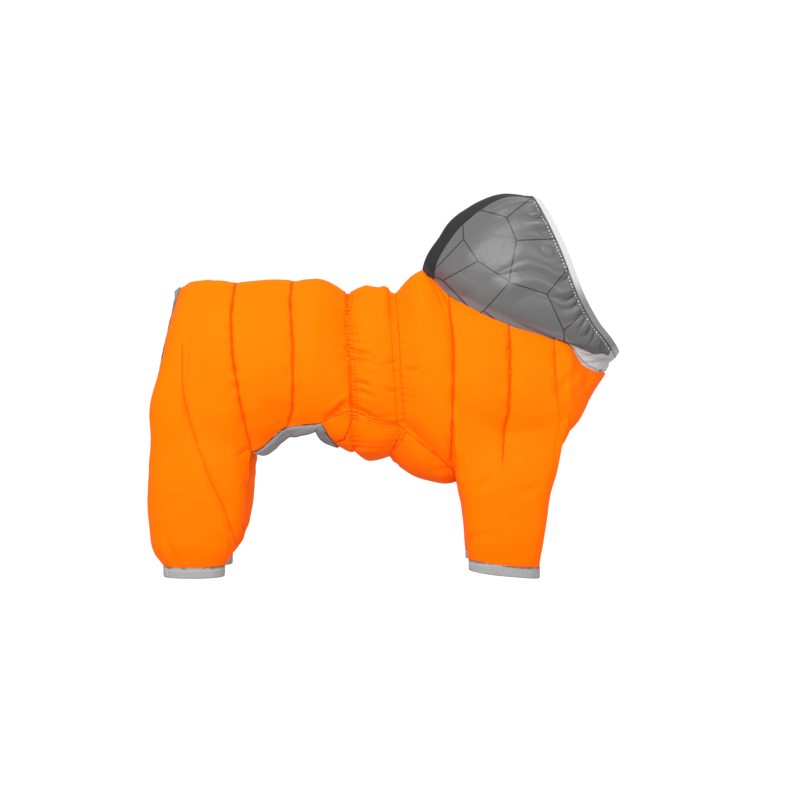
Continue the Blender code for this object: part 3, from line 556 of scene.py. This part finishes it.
def quilt(panel, kind, side, seed):
    """Sinks the rows of quilting into a panel, with their puckers, gathers it onto the waist elastic,
    presses the creases in and leaves the cloth slightly uneven."""
    places, normals, outside = read_points(panel.data)
    hang(places)
    depth = np.zeros(len(places))
    sewn = np.zeros((len(places), 3))
    sewn[:, 0] = FAR_FROM_LINE
    sewn[:, 1] = places[:, 2] / MM

    def draw(across, strength):
        nearer = np.abs(across) < np.abs(sewn[:, 0])
        sewn[nearer, 0] = across[nearer]
        sewn[nearer, 2] = (strength * outside)[nearer]

    for number, (row, strength) in enumerate(PANEL_ROWS[kind].items()):
        fade = fade_down(places, *LINE_ENDS[row]) if row in LINE_ENDS else np.ones(len(places))
        across = (places[:, 0] - row_place(row, places[:, 2])) / MM
        pucker = uneven(places, 0.008, seed + 10 + number) * hill(across, 8)
        depth -= strength * fade * (1.1 * hill(across, 1.8) + 0.5 * pucker)
        draw(across, strength * fade * (0.35 if row.startswith("waist") else 0.8))
    lower = 0.6 + 0.7 * step((-0.03 - places[:, 2]) / 0.07)
    turn = places[:, 2] / MM * 2 * math.pi
    for elastic, reach_back, reach_forward, trough in ELASTICS:
        gap = (places[:, 0] - row_place(elastic, places[:, 2])) / MM
        reach = np.where(gap > 0, reach_forward, reach_back)
        amount = np.exp(-np.abs(gap) / reach) * (0.6 + 0.55 * uneven(places, 0.03, seed + 31))
        drift = 2.4 * uneven(places * (0.4, 0.4, 1), 0.022, seed + 32) + 0.03 * gap
        folds = np.sin(turn / GATHER_PITCH + drift)
        fine = 0.4 * np.sin(turn / FINE_PITCH + 2 * drift) * np.exp(-np.abs(gap) / 6)
        depth += GATHER_DEPTH * lower * np.clip(amount, 0, 1.1) * (folds + fine)
        depth -= 0.7 * hill(gap - trough, 4.5)
    depth += 0.55 * uneven(places, 0.055, seed) + 0.16 * uneven(places, 0.018, seed + 1)
    for path, width, sink, strength, where in CREASES:
        if where in (0, side) or kind.startswith("belly"):
            gap, share = path_gap(places, path)
            ends = np.clip(np.sin(math.pi * np.clip(share, 0.03, 0.97)), 0, 1) ** 0.5
            facing = step((places[:, 1] * side / MM - 12) / 10)
            if kind.startswith("belly"):
                facing = step((np.abs(places[:, 1]) / MM - 24) / 14)
            depth -= sink * ends * facing * (hill(gap, width) - 0.35 * hill(gap - 2.2 * width, width))
            # Along a crease that is no seam, this dark line is painted shade.
            if strength:
                draw(gap, strength * facing)
    nape = step((38 - np.abs(places[:, 1]) / MM) / 15) * hill(places[:, 0] / MM - 42, 16)
    depth += NAPE_LIFT * nape * fade_down(places, -0.02, 0.02)
    depth += WAIST_LIFT * hill(places[:, 0] / MM - 11, 6) * fade_down(places, -0.035, 0.02)
    places += normals * (depth * outside * MM)[:, None]
    write_points(panel.data, places, sewn)


panels = []
for kind, parts in (("body_rear", ("body_rear", "hind_leg")), ("chest", ("chest",))):
    for side_name, side in (("right", -1), ("left", 1)):
        cad_nodes = [f"{part}_{side_name}" for part in parts]
        panel = cut_panel(f"{kind}_cloth_{side_name}", cad_nodes, 3, (SHELL, LINING, SHELL), fill=3.5)
        quilt(panel, kind, side, 100 + 7 * len(kind) + side)
        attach(panel, "garment")
        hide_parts(*cad_nodes)
        panels.append(panel)
for kind in ("belly_rear", "belly_front"):
    panel = cut_panel(kind + "_cloth", [kind], 3, (SHELL, LINING, SHELL))
    quilt(panel, kind, -1, 300 + len(kind))
    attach(panel, "garment")
    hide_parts(kind)
    panels.append(panel)

# ------------------------------------------------------------------------------------------------
# The sewing: dark orange thread in even stitches along the quilting and the seams, a ladder stitch that
# holds the rear waist elastic and two straight rows that hold the front one.
THREAD = cloth("sewing_thread", (0.5, 0.03, 0.0), (0.4, 0.02, 0.0), 0.6, specular=0.1, thread=0.3, depth=0.5)
STITCHES = {  # pitch, length and width in mm
    "quilting": (3.3, 2.5, 0.55),
    "leg_seam": (3.3, 2.5, 0.5),
    "front_elastic": (4.2, 3.0, 0.8),
    "rear_elastic": (4.0, 2.6, 0.6),
    "cuff": (2.9, 2.0, 0.5),
    "face_binding": (4.2, 2.6, 0.9),
}
SHORTEST_STITCH, LONGEST_STITCH = 1e-5, 0.012
RUNG_SHIFTS, RUNG_WIDTH = (-1.0, 1.4, 3.8, 6.2), 0.7 * MM
RAY_START = 0.2
BESIDE_ZIP, ROUND_SIDE, POINT_STEP = 12, 62, 2.0
LEAST_FACING_UP = 0.55
WAIST_LINE_END = -146
BELLY_SEAMS = (
    ((-54, -146), (-50, -137), (-25, -137), (-3, -144), (18, -148), (31, -153)),
    ((46, -163), (60, -174), (76, -188)),
    ((-25, -143), (-28, -153), (-33, -162), (-43, -165)),
)
bpy.context.view_layer.update()
cloth_faces = [BVHTree.FromObject(panel, bpy.context.evaluated_depsgraph_get()) for panel in panels]


def on_cloth(start, way):
    """The first point of the shell that a straight line meets, and the way the cloth faces there."""
    hits = [tree.ray_cast(Vector(start), Vector(way)) for tree in cloth_faces]
    hits = [hit for hit in hits if hit[0] is not None]
    if not hits:
        return None
    place, facing = min(hits, key=lambda hit: hit[3])[:2]
    return place, facing


def traced(path, side):
    """Points on the shell below a line drawn in the side view, as x, z in mm."""
    found = []
    for a, b in zip(path, path[1:]):
        for share in np.linspace(0, 1, max(2, int(math.dist(a, b) / POINT_STEP)), endpoint=False):
            x, z = (a[i] + (b[i] - a[i]) * share for i in (0, 1))
            hit = on_cloth((x * MM, side * RAY_START, (z + LIFT) * MM), (0, -side, 0))
            if hit and hit[0].y * side > 0:
                found.append(hit)
    return found


def over_top(row, side, shift=0.0):
    """Points on the shell along a row of quilting, from beside the zip down to the lower seam."""
    top = HUNG[row][0]
    found = []
    for y in np.arange(BESIDE_ZIP, ROUND_SIDE, POINT_STEP):
        x = row_place(row, found[-1][0].z) + shift * MM if found else (top[0] + shift) * MM
        hit = on_cloth((x, side * y * MM, RAY_START), (0, 0, -1))
        if hit and hit[1].z > LEAST_FACING_UP:
            found.append(hit)
    low = found[-1][0].z / MM - LIFT if found else top[1]
    end = WAIST_LINE_END if row.startswith("waist") else HUNG[row][-1][1]
    line = [(row_place(row, (z + LIFT) * MM) / MM + shift, z) for z in np.arange(low - 1, end, -POINT_STEP)]
    return found + traced(line, side)


def stitch(bm, start, end, facing, width):
    """One stitch: a small plump thread that lies on the cloth."""
    along = end - start
    if not SHORTEST_STITCH <= along.length <= LONGEST_STITCH:
        return
    across = facing.cross(along).normalized()
    up = along.cross(across).normalized()
    if up.dot(facing) < 0:
        up = -up
    middle = (start + end) / 2 + up * width * 0.25
    made = bmesh.ops.create_icosphere(bm, subdivisions=1, radius=1.0)["verts"]
    for point in made:
        x, y, z = point.co
        point.co = middle + along * 0.5 * x + across * width / 2 * y + up * width / 2 * z


def sew(bm, line, kind):
    """Even stitches of a kind along a line of points on the cloth."""
    if len(line) < 3:
        return
    pitch, length, width = (size * MM for size in STITCHES[kind])
    places, facings = (np.array([point[i] for point in line]) for i in (0, 1))
    run = np.concatenate(([0], np.cumsum(np.linalg.norm(np.diff(places, axis=0), axis=1))))
    for at in np.arange(pitch / 2, run[-1] - pitch / 2, pitch):
        start, end = (Vector([np.interp(at + half, run, places[:, i]) for i in range(3)])
                      for half in (-length / 2, length / 2))
        facing = Vector([np.interp(at, run, facings[:, i]) for i in range(3)]).normalized()
        stitch(bm, start, end, facing, width)


def sewn_on(bm, name, finish, smooth=True):
    """Makes a small trim from its built faces and sews it onto the garment."""
    for face in bm.faces:
        face.smooth = smooth
    bmesh.ops.recalc_face_normals(bm, faces=bm.faces)
    mesh = bpy.data.meshes.new(name)
    bm.to_mesh(mesh)
    bm.free()
    mesh.materials.append(finish)
    trim = bpy.data.objects.new(name, mesh)
    bpy.context.scene.collection.objects.link(trim)
    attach(trim, "garment")


bm = bmesh.new()
for side in (-1, 1):
    for row in ("hip", "flank", "shoulder", "chest", "chest_front"):
        sew(bm, over_top(row, side), "quilting")
    for shift in (1.0, -7.5):
        sew(bm, over_top("waist_front", side, shift), "front_elastic")
    for shift in (RUNG_SHIFTS[0], RUNG_SHIFTS[-1]):
        sew(bm, over_top("waist_rear", side, shift), "rear_elastic")
    top_x = HUNG["waist_rear"][0][0]
    rungs = [[on_cloth(((top_x + shift) * MM, side * y * MM, RAY_START), (0, 0, -1)) for shift in RUNG_SHIFTS]
             for y in np.arange(14, 42, 4.0)]
    for z in np.arange(-16, -140, -4.0):
        x = row_place("waist_rear", z * MM)
        rungs.append([on_cloth((x + shift * MM, side * RAY_START, z * MM), (0, -side, 0))
                      for shift in RUNG_SHIFTS])
    for rung in rungs:
        for a, b in zip(rung, rung[1:]):
            if a and b:
                stitch(bm, a[0], b[0], a[1], RUNG_WIDTH)
    for seam in BELLY_SEAMS:
        sew(bm, traced(seam, side), "quilting")
    sew(bm, traced(CREASES[0][0], side), "leg_seam")
sewn_on(bm, "sewing_thread_rows", THREAD)

# ------------------------------------------------------------------------------------------------
# The binding: a soft grey elastic tape folded over the edge of the belly and tail opening, a little
# wider than the CAD solid and faintly rippled, with a dark sewn line where it meets the shell.
TAPE = cloth("grey_binding_tape", (0.19, 0.19, 0.193), (0.012, 0.012, 0.012), 0.7, thread=0.8, depth=0.6,
             crinkle=5.0, specular=0.2)
SEARCH_REACH = 0.03
BINDING_GROWTH, TAIL_END = 0.6, -0.165


def mark_join(mesh, places, strength):
    """Lets the dark sewn line run where a piece meets the shell."""
    gap = np.array([min(tree.find_nearest(Vector(p), SEARCH_REACH)[3] or SEARCH_REACH for tree in cloth_faces)
                    for p in places]) / MM
    write_points(mesh, places, np.column_stack((gap, places[:, 0] / MM, np.full(len(gap), strength))))


binding = cut_panel("opening_binding_tape", ["opening_binding"], 2, (TAPE, TAPE, TAPE))
places, normals, outside = read_points(binding.data)
beside = np.array([min((tree.find_nearest(Vector(p), SEARCH_REACH) for tree in cloth_faces),
                       key=lambda hit: hit[3] if hit[3] is not None else 1.0)[0] or p for p in places])
away = places - beside
widen = BINDING_GROWTH * step(np.linalg.norm(away, axis=1) / MM / 2) * step((places[:, 0] - TAIL_END) / 0.03)
places += away * widen[:, None]
ripple = 0.25 * uneven(places, 0.006, 61) + 0.3 * uneven(places, 0.02, 62)
places += normals * (ripple * outside * MM)[:, None]
mark_join(binding.data, places, 0.95)
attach(binding, "garment")
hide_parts("opening_binding")

# ------------------------------------------------------------------------------------------------
# The cuffs: a ring of light grey ribbed elastic at each hem, its ends overlapped and sewn down, with
# a row of pale stitches below the hem.
RIB = cloth("ribbed_elastic", (0.27, 0.27, 0.275), (0.06, 0.06, 0.06), 0.75, thread=1.1, depth=0.8,
            crinkle=6.0, specular=0.15)
PALE_THREAD = cloth("pale_thread", (0.75, 0.75, 0.75), (0.5, 0.5, 0.5), 0.6, thread=0.3, depth=0.4)
RIB_COUNT, RIB_DEPTH, LAP_DEPTH, LAP_WIDTH = 64, 0.28, 0.9, 0.16
LAP_TURN, TACK_TURN = math.radians(155), math.radians(150)
STITCHES_BELOW_EDGE = 4.2 * MM
TACK_HEIGHTS = np.arange(2.0, 9.5, 2.2) * MM
TACK = Vector((1.6, 0, -1.6)) * MM
pale_rows = bmesh.new()
for place in ("front", "hind"):
    for side_name, side in (("right", -1), ("left", 1)):
        node = f"cuff_{place}_{side_name}"
        cuff = cut_panel(node + "_band", [node], 3, (RIB, RIB, RIB))
        places, normals, outside = read_points(cuff.data)
        low, high = (np.array(corner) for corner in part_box(node))
        middle = (low + high) / 2
        angle = np.arctan2((places[:, 1] - middle[1]) / (high[1] - low[1]),
                           (places[:, 0] - middle[0]) / (high[0] - low[0]))
        ribs = RIB_DEPTH * np.cos(RIB_COUNT * angle) + 0.2 * uneven(places, 0.02, 71)
        lap = LAP_DEPTH * np.exp(-(np.abs(angle - side * LAP_TURN) / LAP_WIDTH) ** 8)
        flat = np.clip(1 - np.abs(normals[:, 2]) * 1.3, 0, 1)
        places += normals * ((ribs + lap) * flat * outside * MM)[:, None]
        mark_join(cuff.data, places, 0.8)
        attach(cuff, "garment")
        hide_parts(node)
        tree = BVHTree.FromObject(cuff, bpy.context.evaluated_depsgraph_get())
        line = []
        for turn in np.linspace(0, 2 * math.pi, 121):
            way = Vector((math.cos(turn), math.sin(turn), 0))
            centre = Vector((middle[0], middle[1], high[2] - STITCHES_BELOW_EDGE))
            hit = tree.ray_cast(centre + way * 0.09, -way)
            if hit[0] is not None:
                line.append((hit[0], hit[1]))
        sew(pale_rows, line, "cuff")
        tacked = [p for p in line
                  if abs(math.atan2(p[0].y - middle[1], p[0].x - middle[0]) - side * TACK_TURN) < 0.06]
        for on_edge, facing in tacked[:1]:
            for down in TACK_HEIGHTS:
                start = Vector((on_edge.x, on_edge.y, high[2] - down)) + facing * 0.9 * MM
                stitch(pale_rows, start, start + TACK, facing, 0.5 * MM)

# ------------------------------------------------------------------------------------------------
# The hood: one layer of shiny thin cloth in a dark centre strip, its near-black tone partly painted shade,
# two printed grey sides and a pale chin piece, sewn to the neck and gathered onto a silvery binding round the
# face, whose paler upper part is a painted highlight.
FACE_TOP = (176, 101.6)
FACE_WAY = (0.449, -0.893)
FACE_STITCH_INSET = 3.4
NAPE_X, NAPE_Z, NAPE_WIDTH, NAPE_PUSH = 51, 58, 28, 0.009
CROWN_X, CROWN_WIDTH, CROWN_RISE = 138, 45, 0.0055
HOOD_GATHER_PITCH, SMALL_GATHER_PITCH, SMALL_SHARE = 27, 9.3, 0.28
CENTRE_FADE, SAG_REACH, BINDING_NARROWED = 11, 45, 0.36
NECK = ((52, 21), (79, -7), (144, -37), (192, -54), (206, -57), (232, -85), (253, -92))
CHIN_FOLDS = (  # the path as x, z in mm, the width and the depth
    (((262, -74), (240, -79), (221, -80)), 1.8, 0.5),
    (((262, -78), (248, -88), (238, -97)), 1.8, 0.5),
    (((260, -71), (236, -69), (214, -64)), 2.0, 0.4),
    (((263, -80), (256, -92)), 1.5, 0.4),
)


def printed_lines():
    """A shader group: a plain print of thin straight lines that meet in corners, from 0 to 1."""
    group = bpy.data.node_groups.new("printed_lines", "ShaderNodeTree")
    group.interface.new_socket("Line", in_out="OUTPUT", socket_type="NodeSocketFloat")
    links = group.links
    result = group.nodes.new("NodeGroupOutput")
    place = add_node(group, "TexCoord")
    turned = add_node(group, "Mapping", {"Rotation": (-math.pi / 2, 0.0, 0.0),
                                         "Location": (0.013, 0.008, 0.021)})
    cells = add_node(group, "TexVoronoi", {"Scale": 19.0, "Randomness": 0.95}, feature="DISTANCE_TO_EDGE",
                     voronoi_dimensions="2D")
    edge = add_node(group, "MapRange", {"From Min": 0.006, "From Max": 0.015, "To Min": 1.0, "To Max": 0.0})
    links.new(place.outputs["Object"], turned.inputs["Vector"])
    links.new(turned.outputs["Vector"], cells.inputs["Vector"])
    links.new(cells.outputs["Distance"], edge.inputs["Value"])
    links.new(edge.outputs["Result"], result.inputs["Line"])
    return group


def hood_cloth(name, colour, dark, pale, printed, **more):
    """The hood's shiny cloth, with its print if it has one. It is paler where the attribute says so: in the
    cloth's own paler band along the neck, and as a painted highlight on the face binding.
    """
    made = cloth(name, colour, dark, **more)
    tree, links = made.node_tree, made.node_tree.links
    face = tree.nodes["Principled BSDF"]
    tone = face.inputs["Base Color"].links[0].from_socket
    layers = [(add_node(tree, "Attribute", attribute_name="pale").outputs["Fac"], pale)]
    if printed:
        lines = add_node(tree, "Group", node_tree=printed_lines())
        layers.append((lines.outputs["Line"], (0.01, 0.01, 0.01)))
    for cover, paint in layers:
        mixed = add_node(tree, "Mix", {"B": (*paint, 1)}, data_type="RGBA")
        links.new(cover, mixed.inputs["Factor"])
        links.new(tone, mixed.inputs["A"])
        tone = mixed.outputs["Result"]
    links.new(tone, face.inputs["Base Color"])
    return made


HOOD_SIDE = hood_cloth("printed_hood_cloth", (0.085, 0.085, 0.086), (0.02, 0.02, 0.02), (0.12, 0.12, 0.123),
                       True, roughness=0.38, specular=0.3, crinkle=16.0, crinkle_depth=0.3)
# The centre strip's near-black colour is partly painted shade, for reflective cloth facing up and away from
# the lamps.
HOOD_DARK_WITH_PAINTED_SHADE = hood_cloth("dark_hood_cloth_with_painted_shade", (0.019, 0.019, 0.02), (0.008, 0.008, 0.008), (0.03, 0.03, 0.03),
                       False, roughness=0.55, specular=0.06, crinkle=9.0, crinkle_depth=0.25)
HOOD_PALE = hood_cloth("pale_hood_cloth", (0.34, 0.34, 0.345), (0.1, 0.1, 0.1), (0.38, 0.38, 0.385),
                       False, roughness=0.42, specular=0.35, crinkle=16.0)
# The face binding tape's colour is its shaded tone and its paler colour a lit tone: a painted highlight.
HOOD_TAPE_WITH_PAINTED_HIGHLIGHT = hood_cloth("face_binding_tape_with_painted_highlight", (0.17, 0.17, 0.172), (0.1, 0.1, 0.1), (0.46, 0.46, 0.463),
                       False, roughness=0.6, thread=0.7, depth=0.4, crinkle=5.0, specular=0.2)


def face_sag(along):
    """How far back the face's edge hangs between crown and chin, in mm."""
    return (3.8 + 7.7 * hill(along - 125, 50)) * step((195 - along) / 45)


def shape_hood(piece, folds, seed):
    """Sets the crown and the face's edge as worn, gathers the cloth beside the face binding by folds of that
    depth and leaves soft folds in it. The binding itself has none, and is narrowed instead."""
    places, normals, outside = read_points(piece.data)
    is_binding = folds == 0
    x, z = places[:, 0] / MM, places[:, 2] / MM
    places[:, 0] += NAPE_PUSH * hill(x - NAPE_X, NAPE_WIDTH) * hill(z - NAPE_Z, NAPE_WIDTH)
    places[:, 2] += CROWN_RISE * hill(x - CROWN_X, CROWN_WIDTH) * step((z - 40) / 50)
    back = (x - FACE_TOP[0]) * FACE_WAY[1] - (z - FACE_TOP[1]) * FACE_WAY[0]
    along = (x - FACE_TOP[0]) * FACE_WAY[0] + (z - FACE_TOP[1]) * FACE_WAY[1]
    behind = np.clip(back, 0, None)
    turn = along * 2 * math.pi
    wander = uneven(places, 0.05, seed)
    pull = folds * step((np.abs(places[:, 1]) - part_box("hood_centre")[1].y) / MM / CENTRE_FADE)
    reach = 24 + 12 * np.sin(along / 17 + seed)
    wave = np.sin(turn / HOOD_GATHER_PITCH + 2.2 * wander + 1.2 * np.sin(along / 23) + 0.025 * back)
    wave = np.where(wave > 0, np.abs(wave) ** 0.8, -np.abs(wave) ** 2.5)
    uneven_pull = 0.75 + 0.55 * uneven(places * (1, 0, 1), 0.03, seed + 4)
    gather = pull * uneven_pull * wave * np.exp(-(behind / (1.5 * reach)) ** 1.5) * step((back - 1) / 7)
    small = np.sin(turn / SMALL_GATHER_PITCH + 4 * wander + 2 * np.sin(along / 9))
    small = SMALL_SHARE * pull * small * np.exp(-behind / 10)
    neck = z - LIFT - np.interp(x, [p[0] for p in NECK], [p[1] for p in NECK])
    tuck = 0.25 * uneven(places, 0.012, 83) * np.exp(-np.abs(neck) / 9)
    depth = 0.7 * uneven(places, 0.045, 81) + 0.15 * uneven(places, 0.014, 82) + tuck
    for path, width, sink in CHIN_FOLDS if piece.name.startswith("hood_chin") else ():
        gap, share = path_gap(places, path)
        depth -= sink * hill(gap, width) * np.sin(math.pi * np.clip(share, 0.05, 0.95)) ** 0.5 * 3
    lift = (depth * step(back / 10) + gather + small * step(back / 3)) * MM
    places += normals * (lift * outside)[:, None]
    if is_binding:
        narrow = BINDING_NARROWED * (back - np.percentile(back, 97)) * MM
        places[:, 0] -= FACE_WAY[1] * narrow
        places[:, 2] += FACE_WAY[0] * narrow
    places[:, 0] -= face_sag(along) * hill(behind, SAG_REACH) * MM
    mark_join(piece.data, places, 0.8)
    pale = step((9 + 0.02 * (x - 52) - neck) / 5) * outside
    # On the face binding this mask is replaced by a painted highlight: its upper part and chin end are made
    # paler.
    if is_binding:
        pale = step((130 - along) / 35) + 0.5 * step((along - 178) / 10)
    piece.data.attributes.new("pale", "FLOAT", "POINT").data.foreach_set("value", pale.astype(np.float32))


for node, finish, slot_name, folds, cut in (
        ("hood_centre", HOOD_DARK_WITH_PAINTED_SHADE, "dark_hood", 0.3, dict(flat=(0.05, 0.19), held="stretched")),
        ("hood_right", HOOD_SIDE, "grey_hood", 5.2, dict(flat=(0.17, 0.2), area=0.0235, held="gathered")),
        ("hood_left", HOOD_SIDE, "grey_hood", 5.2, dict(flat=(0.17, 0.2), area=0.0235, held="gathered")),
        ("hood_chin", HOOD_PALE, "light_grey_cloth", 0.8,
         dict(flat=(0.042, 0.11), area=0.0036, held="draped")),
        ("hood_binding", HOOD_TAPE_WITH_PAINTED_HIGHLIGHT, "light_grey_cloth", 0.0, dict(flat=(0.0105, 0.43), held="stretched"))):
    piece = cut_panel(node + "_cloth", [node], 3, (finish, finish, finish))
    shape_hood(piece, folds, len(node))
    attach(piece, "garment")
    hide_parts(node)

# White stitches hold the gathers along the inner edge of the face binding.
for side_name, side in (("right", -1), ("left", 1)):
    piece = bpy.data.objects[f"hood_{side_name}_cloth"]
    tree = BVHTree.FromObject(piece, bpy.context.evaluated_depsgraph_get())
    line = []
    for at in np.arange(4, 186, 1.0):
        x = FACE_TOP[0] + FACE_WAY[0] * at + FACE_WAY[1] * FACE_STITCH_INSET - face_sag(at)
        z = FACE_TOP[1] + FACE_WAY[1] * at - FACE_WAY[0] * FACE_STITCH_INSET
        hit = tree.ray_cast(Vector((x * MM, side * RAY_START, z * MM)), Vector((0, -side, 0)))
        if hit[0] is not None and hit[0].y * side > 0:
            line.append((hit[0], hit[1]))
    sew(pale_rows, line, "face_binding")
sewn_on(pale_rows, "pale_stitches", PALE_THREAD)

# ------------------------------------------------------------------------------------------------
# The zip along the back: an orange tape with a chain of moulded teeth, a metal slider on the chain
# and a soft tab that turns on the slider's bridge.
ZIP_TAPE = cloth("zip_tape_cloth", (0.85, 0.1, 0.0), (0.5, 0.05, 0.0), 0.75, thread=0.6, depth=0.8,
                 specular=0.1)
tape = cut_panel("zip_tape_cloth", ["zip_tape"], 1, (ZIP_TAPE, ZIP_TAPE, ZIP_TAPE))
write_points(tape.data, read_points(tape.data)[0])
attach(tape, "garment")
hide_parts("zip_tape")

TEETH = cloth("moulded_teeth", (0.42, 0.025, 0.0), (0.5, 0.05, 0.0), 0.55, specular=0.15, thread=0.5,
              depth=0.1)
TOOTH = Vector((1.5, 3.6, 1.1)) * MM
TOOTH_PITCH, TOOTH_BEVEL = 1.35 * MM, 0.25 * MM
TOOTH_SHIFT, TOOTH_LIFT, TOOTH_TAPER = 0.6 * MM, 0.3 * MM, 0.75
CHAIN_START, CHAIN_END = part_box("zip_tape")[0].x + 3 * MM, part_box("zip_slider")[0].x - 1 * MM
tree = BVHTree.FromObject(tape, bpy.context.evaluated_depsgraph_get())
bm = bmesh.new()
number, x = 0, CHAIN_START
while x < CHAIN_END:
    hit = tree.ray_cast(Vector((x, 0, RAY_START)), Vector((0, 0, -1)))
    if hit[0] is not None:
        up = hit[1] if hit[1].z > 0 else -hit[1]
        along = Vector((up.z, 0, -up.x)).normalized()
        made = bmesh.ops.create_cube(bm, size=1.0)["verts"]
        side = 1 if number % 2 else -1
        for point in made:
            a, b, c = point.co
            taper = TOOTH_TAPER if b * side < 0 else 1.0
            point.co = hit[0] + along * a * TOOTH.x * taper + up * (c * TOOTH.z + TOOTH_LIFT)
            point.co.y += b * TOOTH.y + side * TOOTH_SHIFT
        edges = list({e for v in made for e in v.link_edges})
        bmesh.ops.bevel(bm, geom=edges, offset=TOOTH_BEVEL, offset_type="OFFSET", affect="EDGES", segments=1,
                        profile=0.5, material=-1)
        x += TOOTH_PITCH * along.x
    else:
        x += 1 * MM
    number += 1
sewn_on(bm, "zip_teeth", TEETH, smooth=False)


def hard_finish(name, colour, metallic, roughness, wear):
    """A moulded or plated surface with a fine mottled relief and a slightly mottled tone and gloss."""
    made = bpy.data.materials.new(name)
    made.use_nodes = True
    tree, links = made.node_tree, made.node_tree.links
    face = tree.nodes["Principled BSDF"]
    face.inputs["Metallic"].default_value = metallic
    place = add_node(tree, "TexCoord")
    mottle = add_node(tree, "TexNoise", {"Scale": 900.0, "Detail": 4.0})
    links.new(place.outputs["Object"], mottle.inputs["Vector"])
    gloss = add_node(tree, "MapRange", {"To Min": roughness - wear, "To Max": roughness + wear})
    links.new(mottle.outputs["Fac"], gloss.inputs["Value"])
    links.new(gloss.outputs["Result"], face.inputs["Roughness"])
    tone = add_node(tree, "Mix", data_type="RGBA")
    tone.inputs["A"].default_value = (*[c * 0.85 for c in colour], 1)
    tone.inputs["B"].default_value = (*colour, 1)
    links.new(mottle.outputs["Fac"], tone.inputs["Factor"])
    links.new(tone.outputs["Result"], face.inputs["Base Color"])
    relief = add_node(tree, "Bump", {"Strength": 0.15, "Distance": 0.0001})
    links.new(mottle.outputs["Fac"], relief.inputs["Height"])
    links.new(relief.outputs["Normal"], face.inputs["Normal"])
    return made


for node, finish in (("zip_slider", hard_finish("plated_slider", (0.2, 0.2, 0.205), 0.9, 0.48, 0.08)),
                     ("zip_pull", hard_finish("soft_pull_tab", (0.6, 0.07, 0.0), 0.0, 0.5, 0.08))):
    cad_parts[node].data.materials.clear()
    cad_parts[node].data.materials.append(finish)
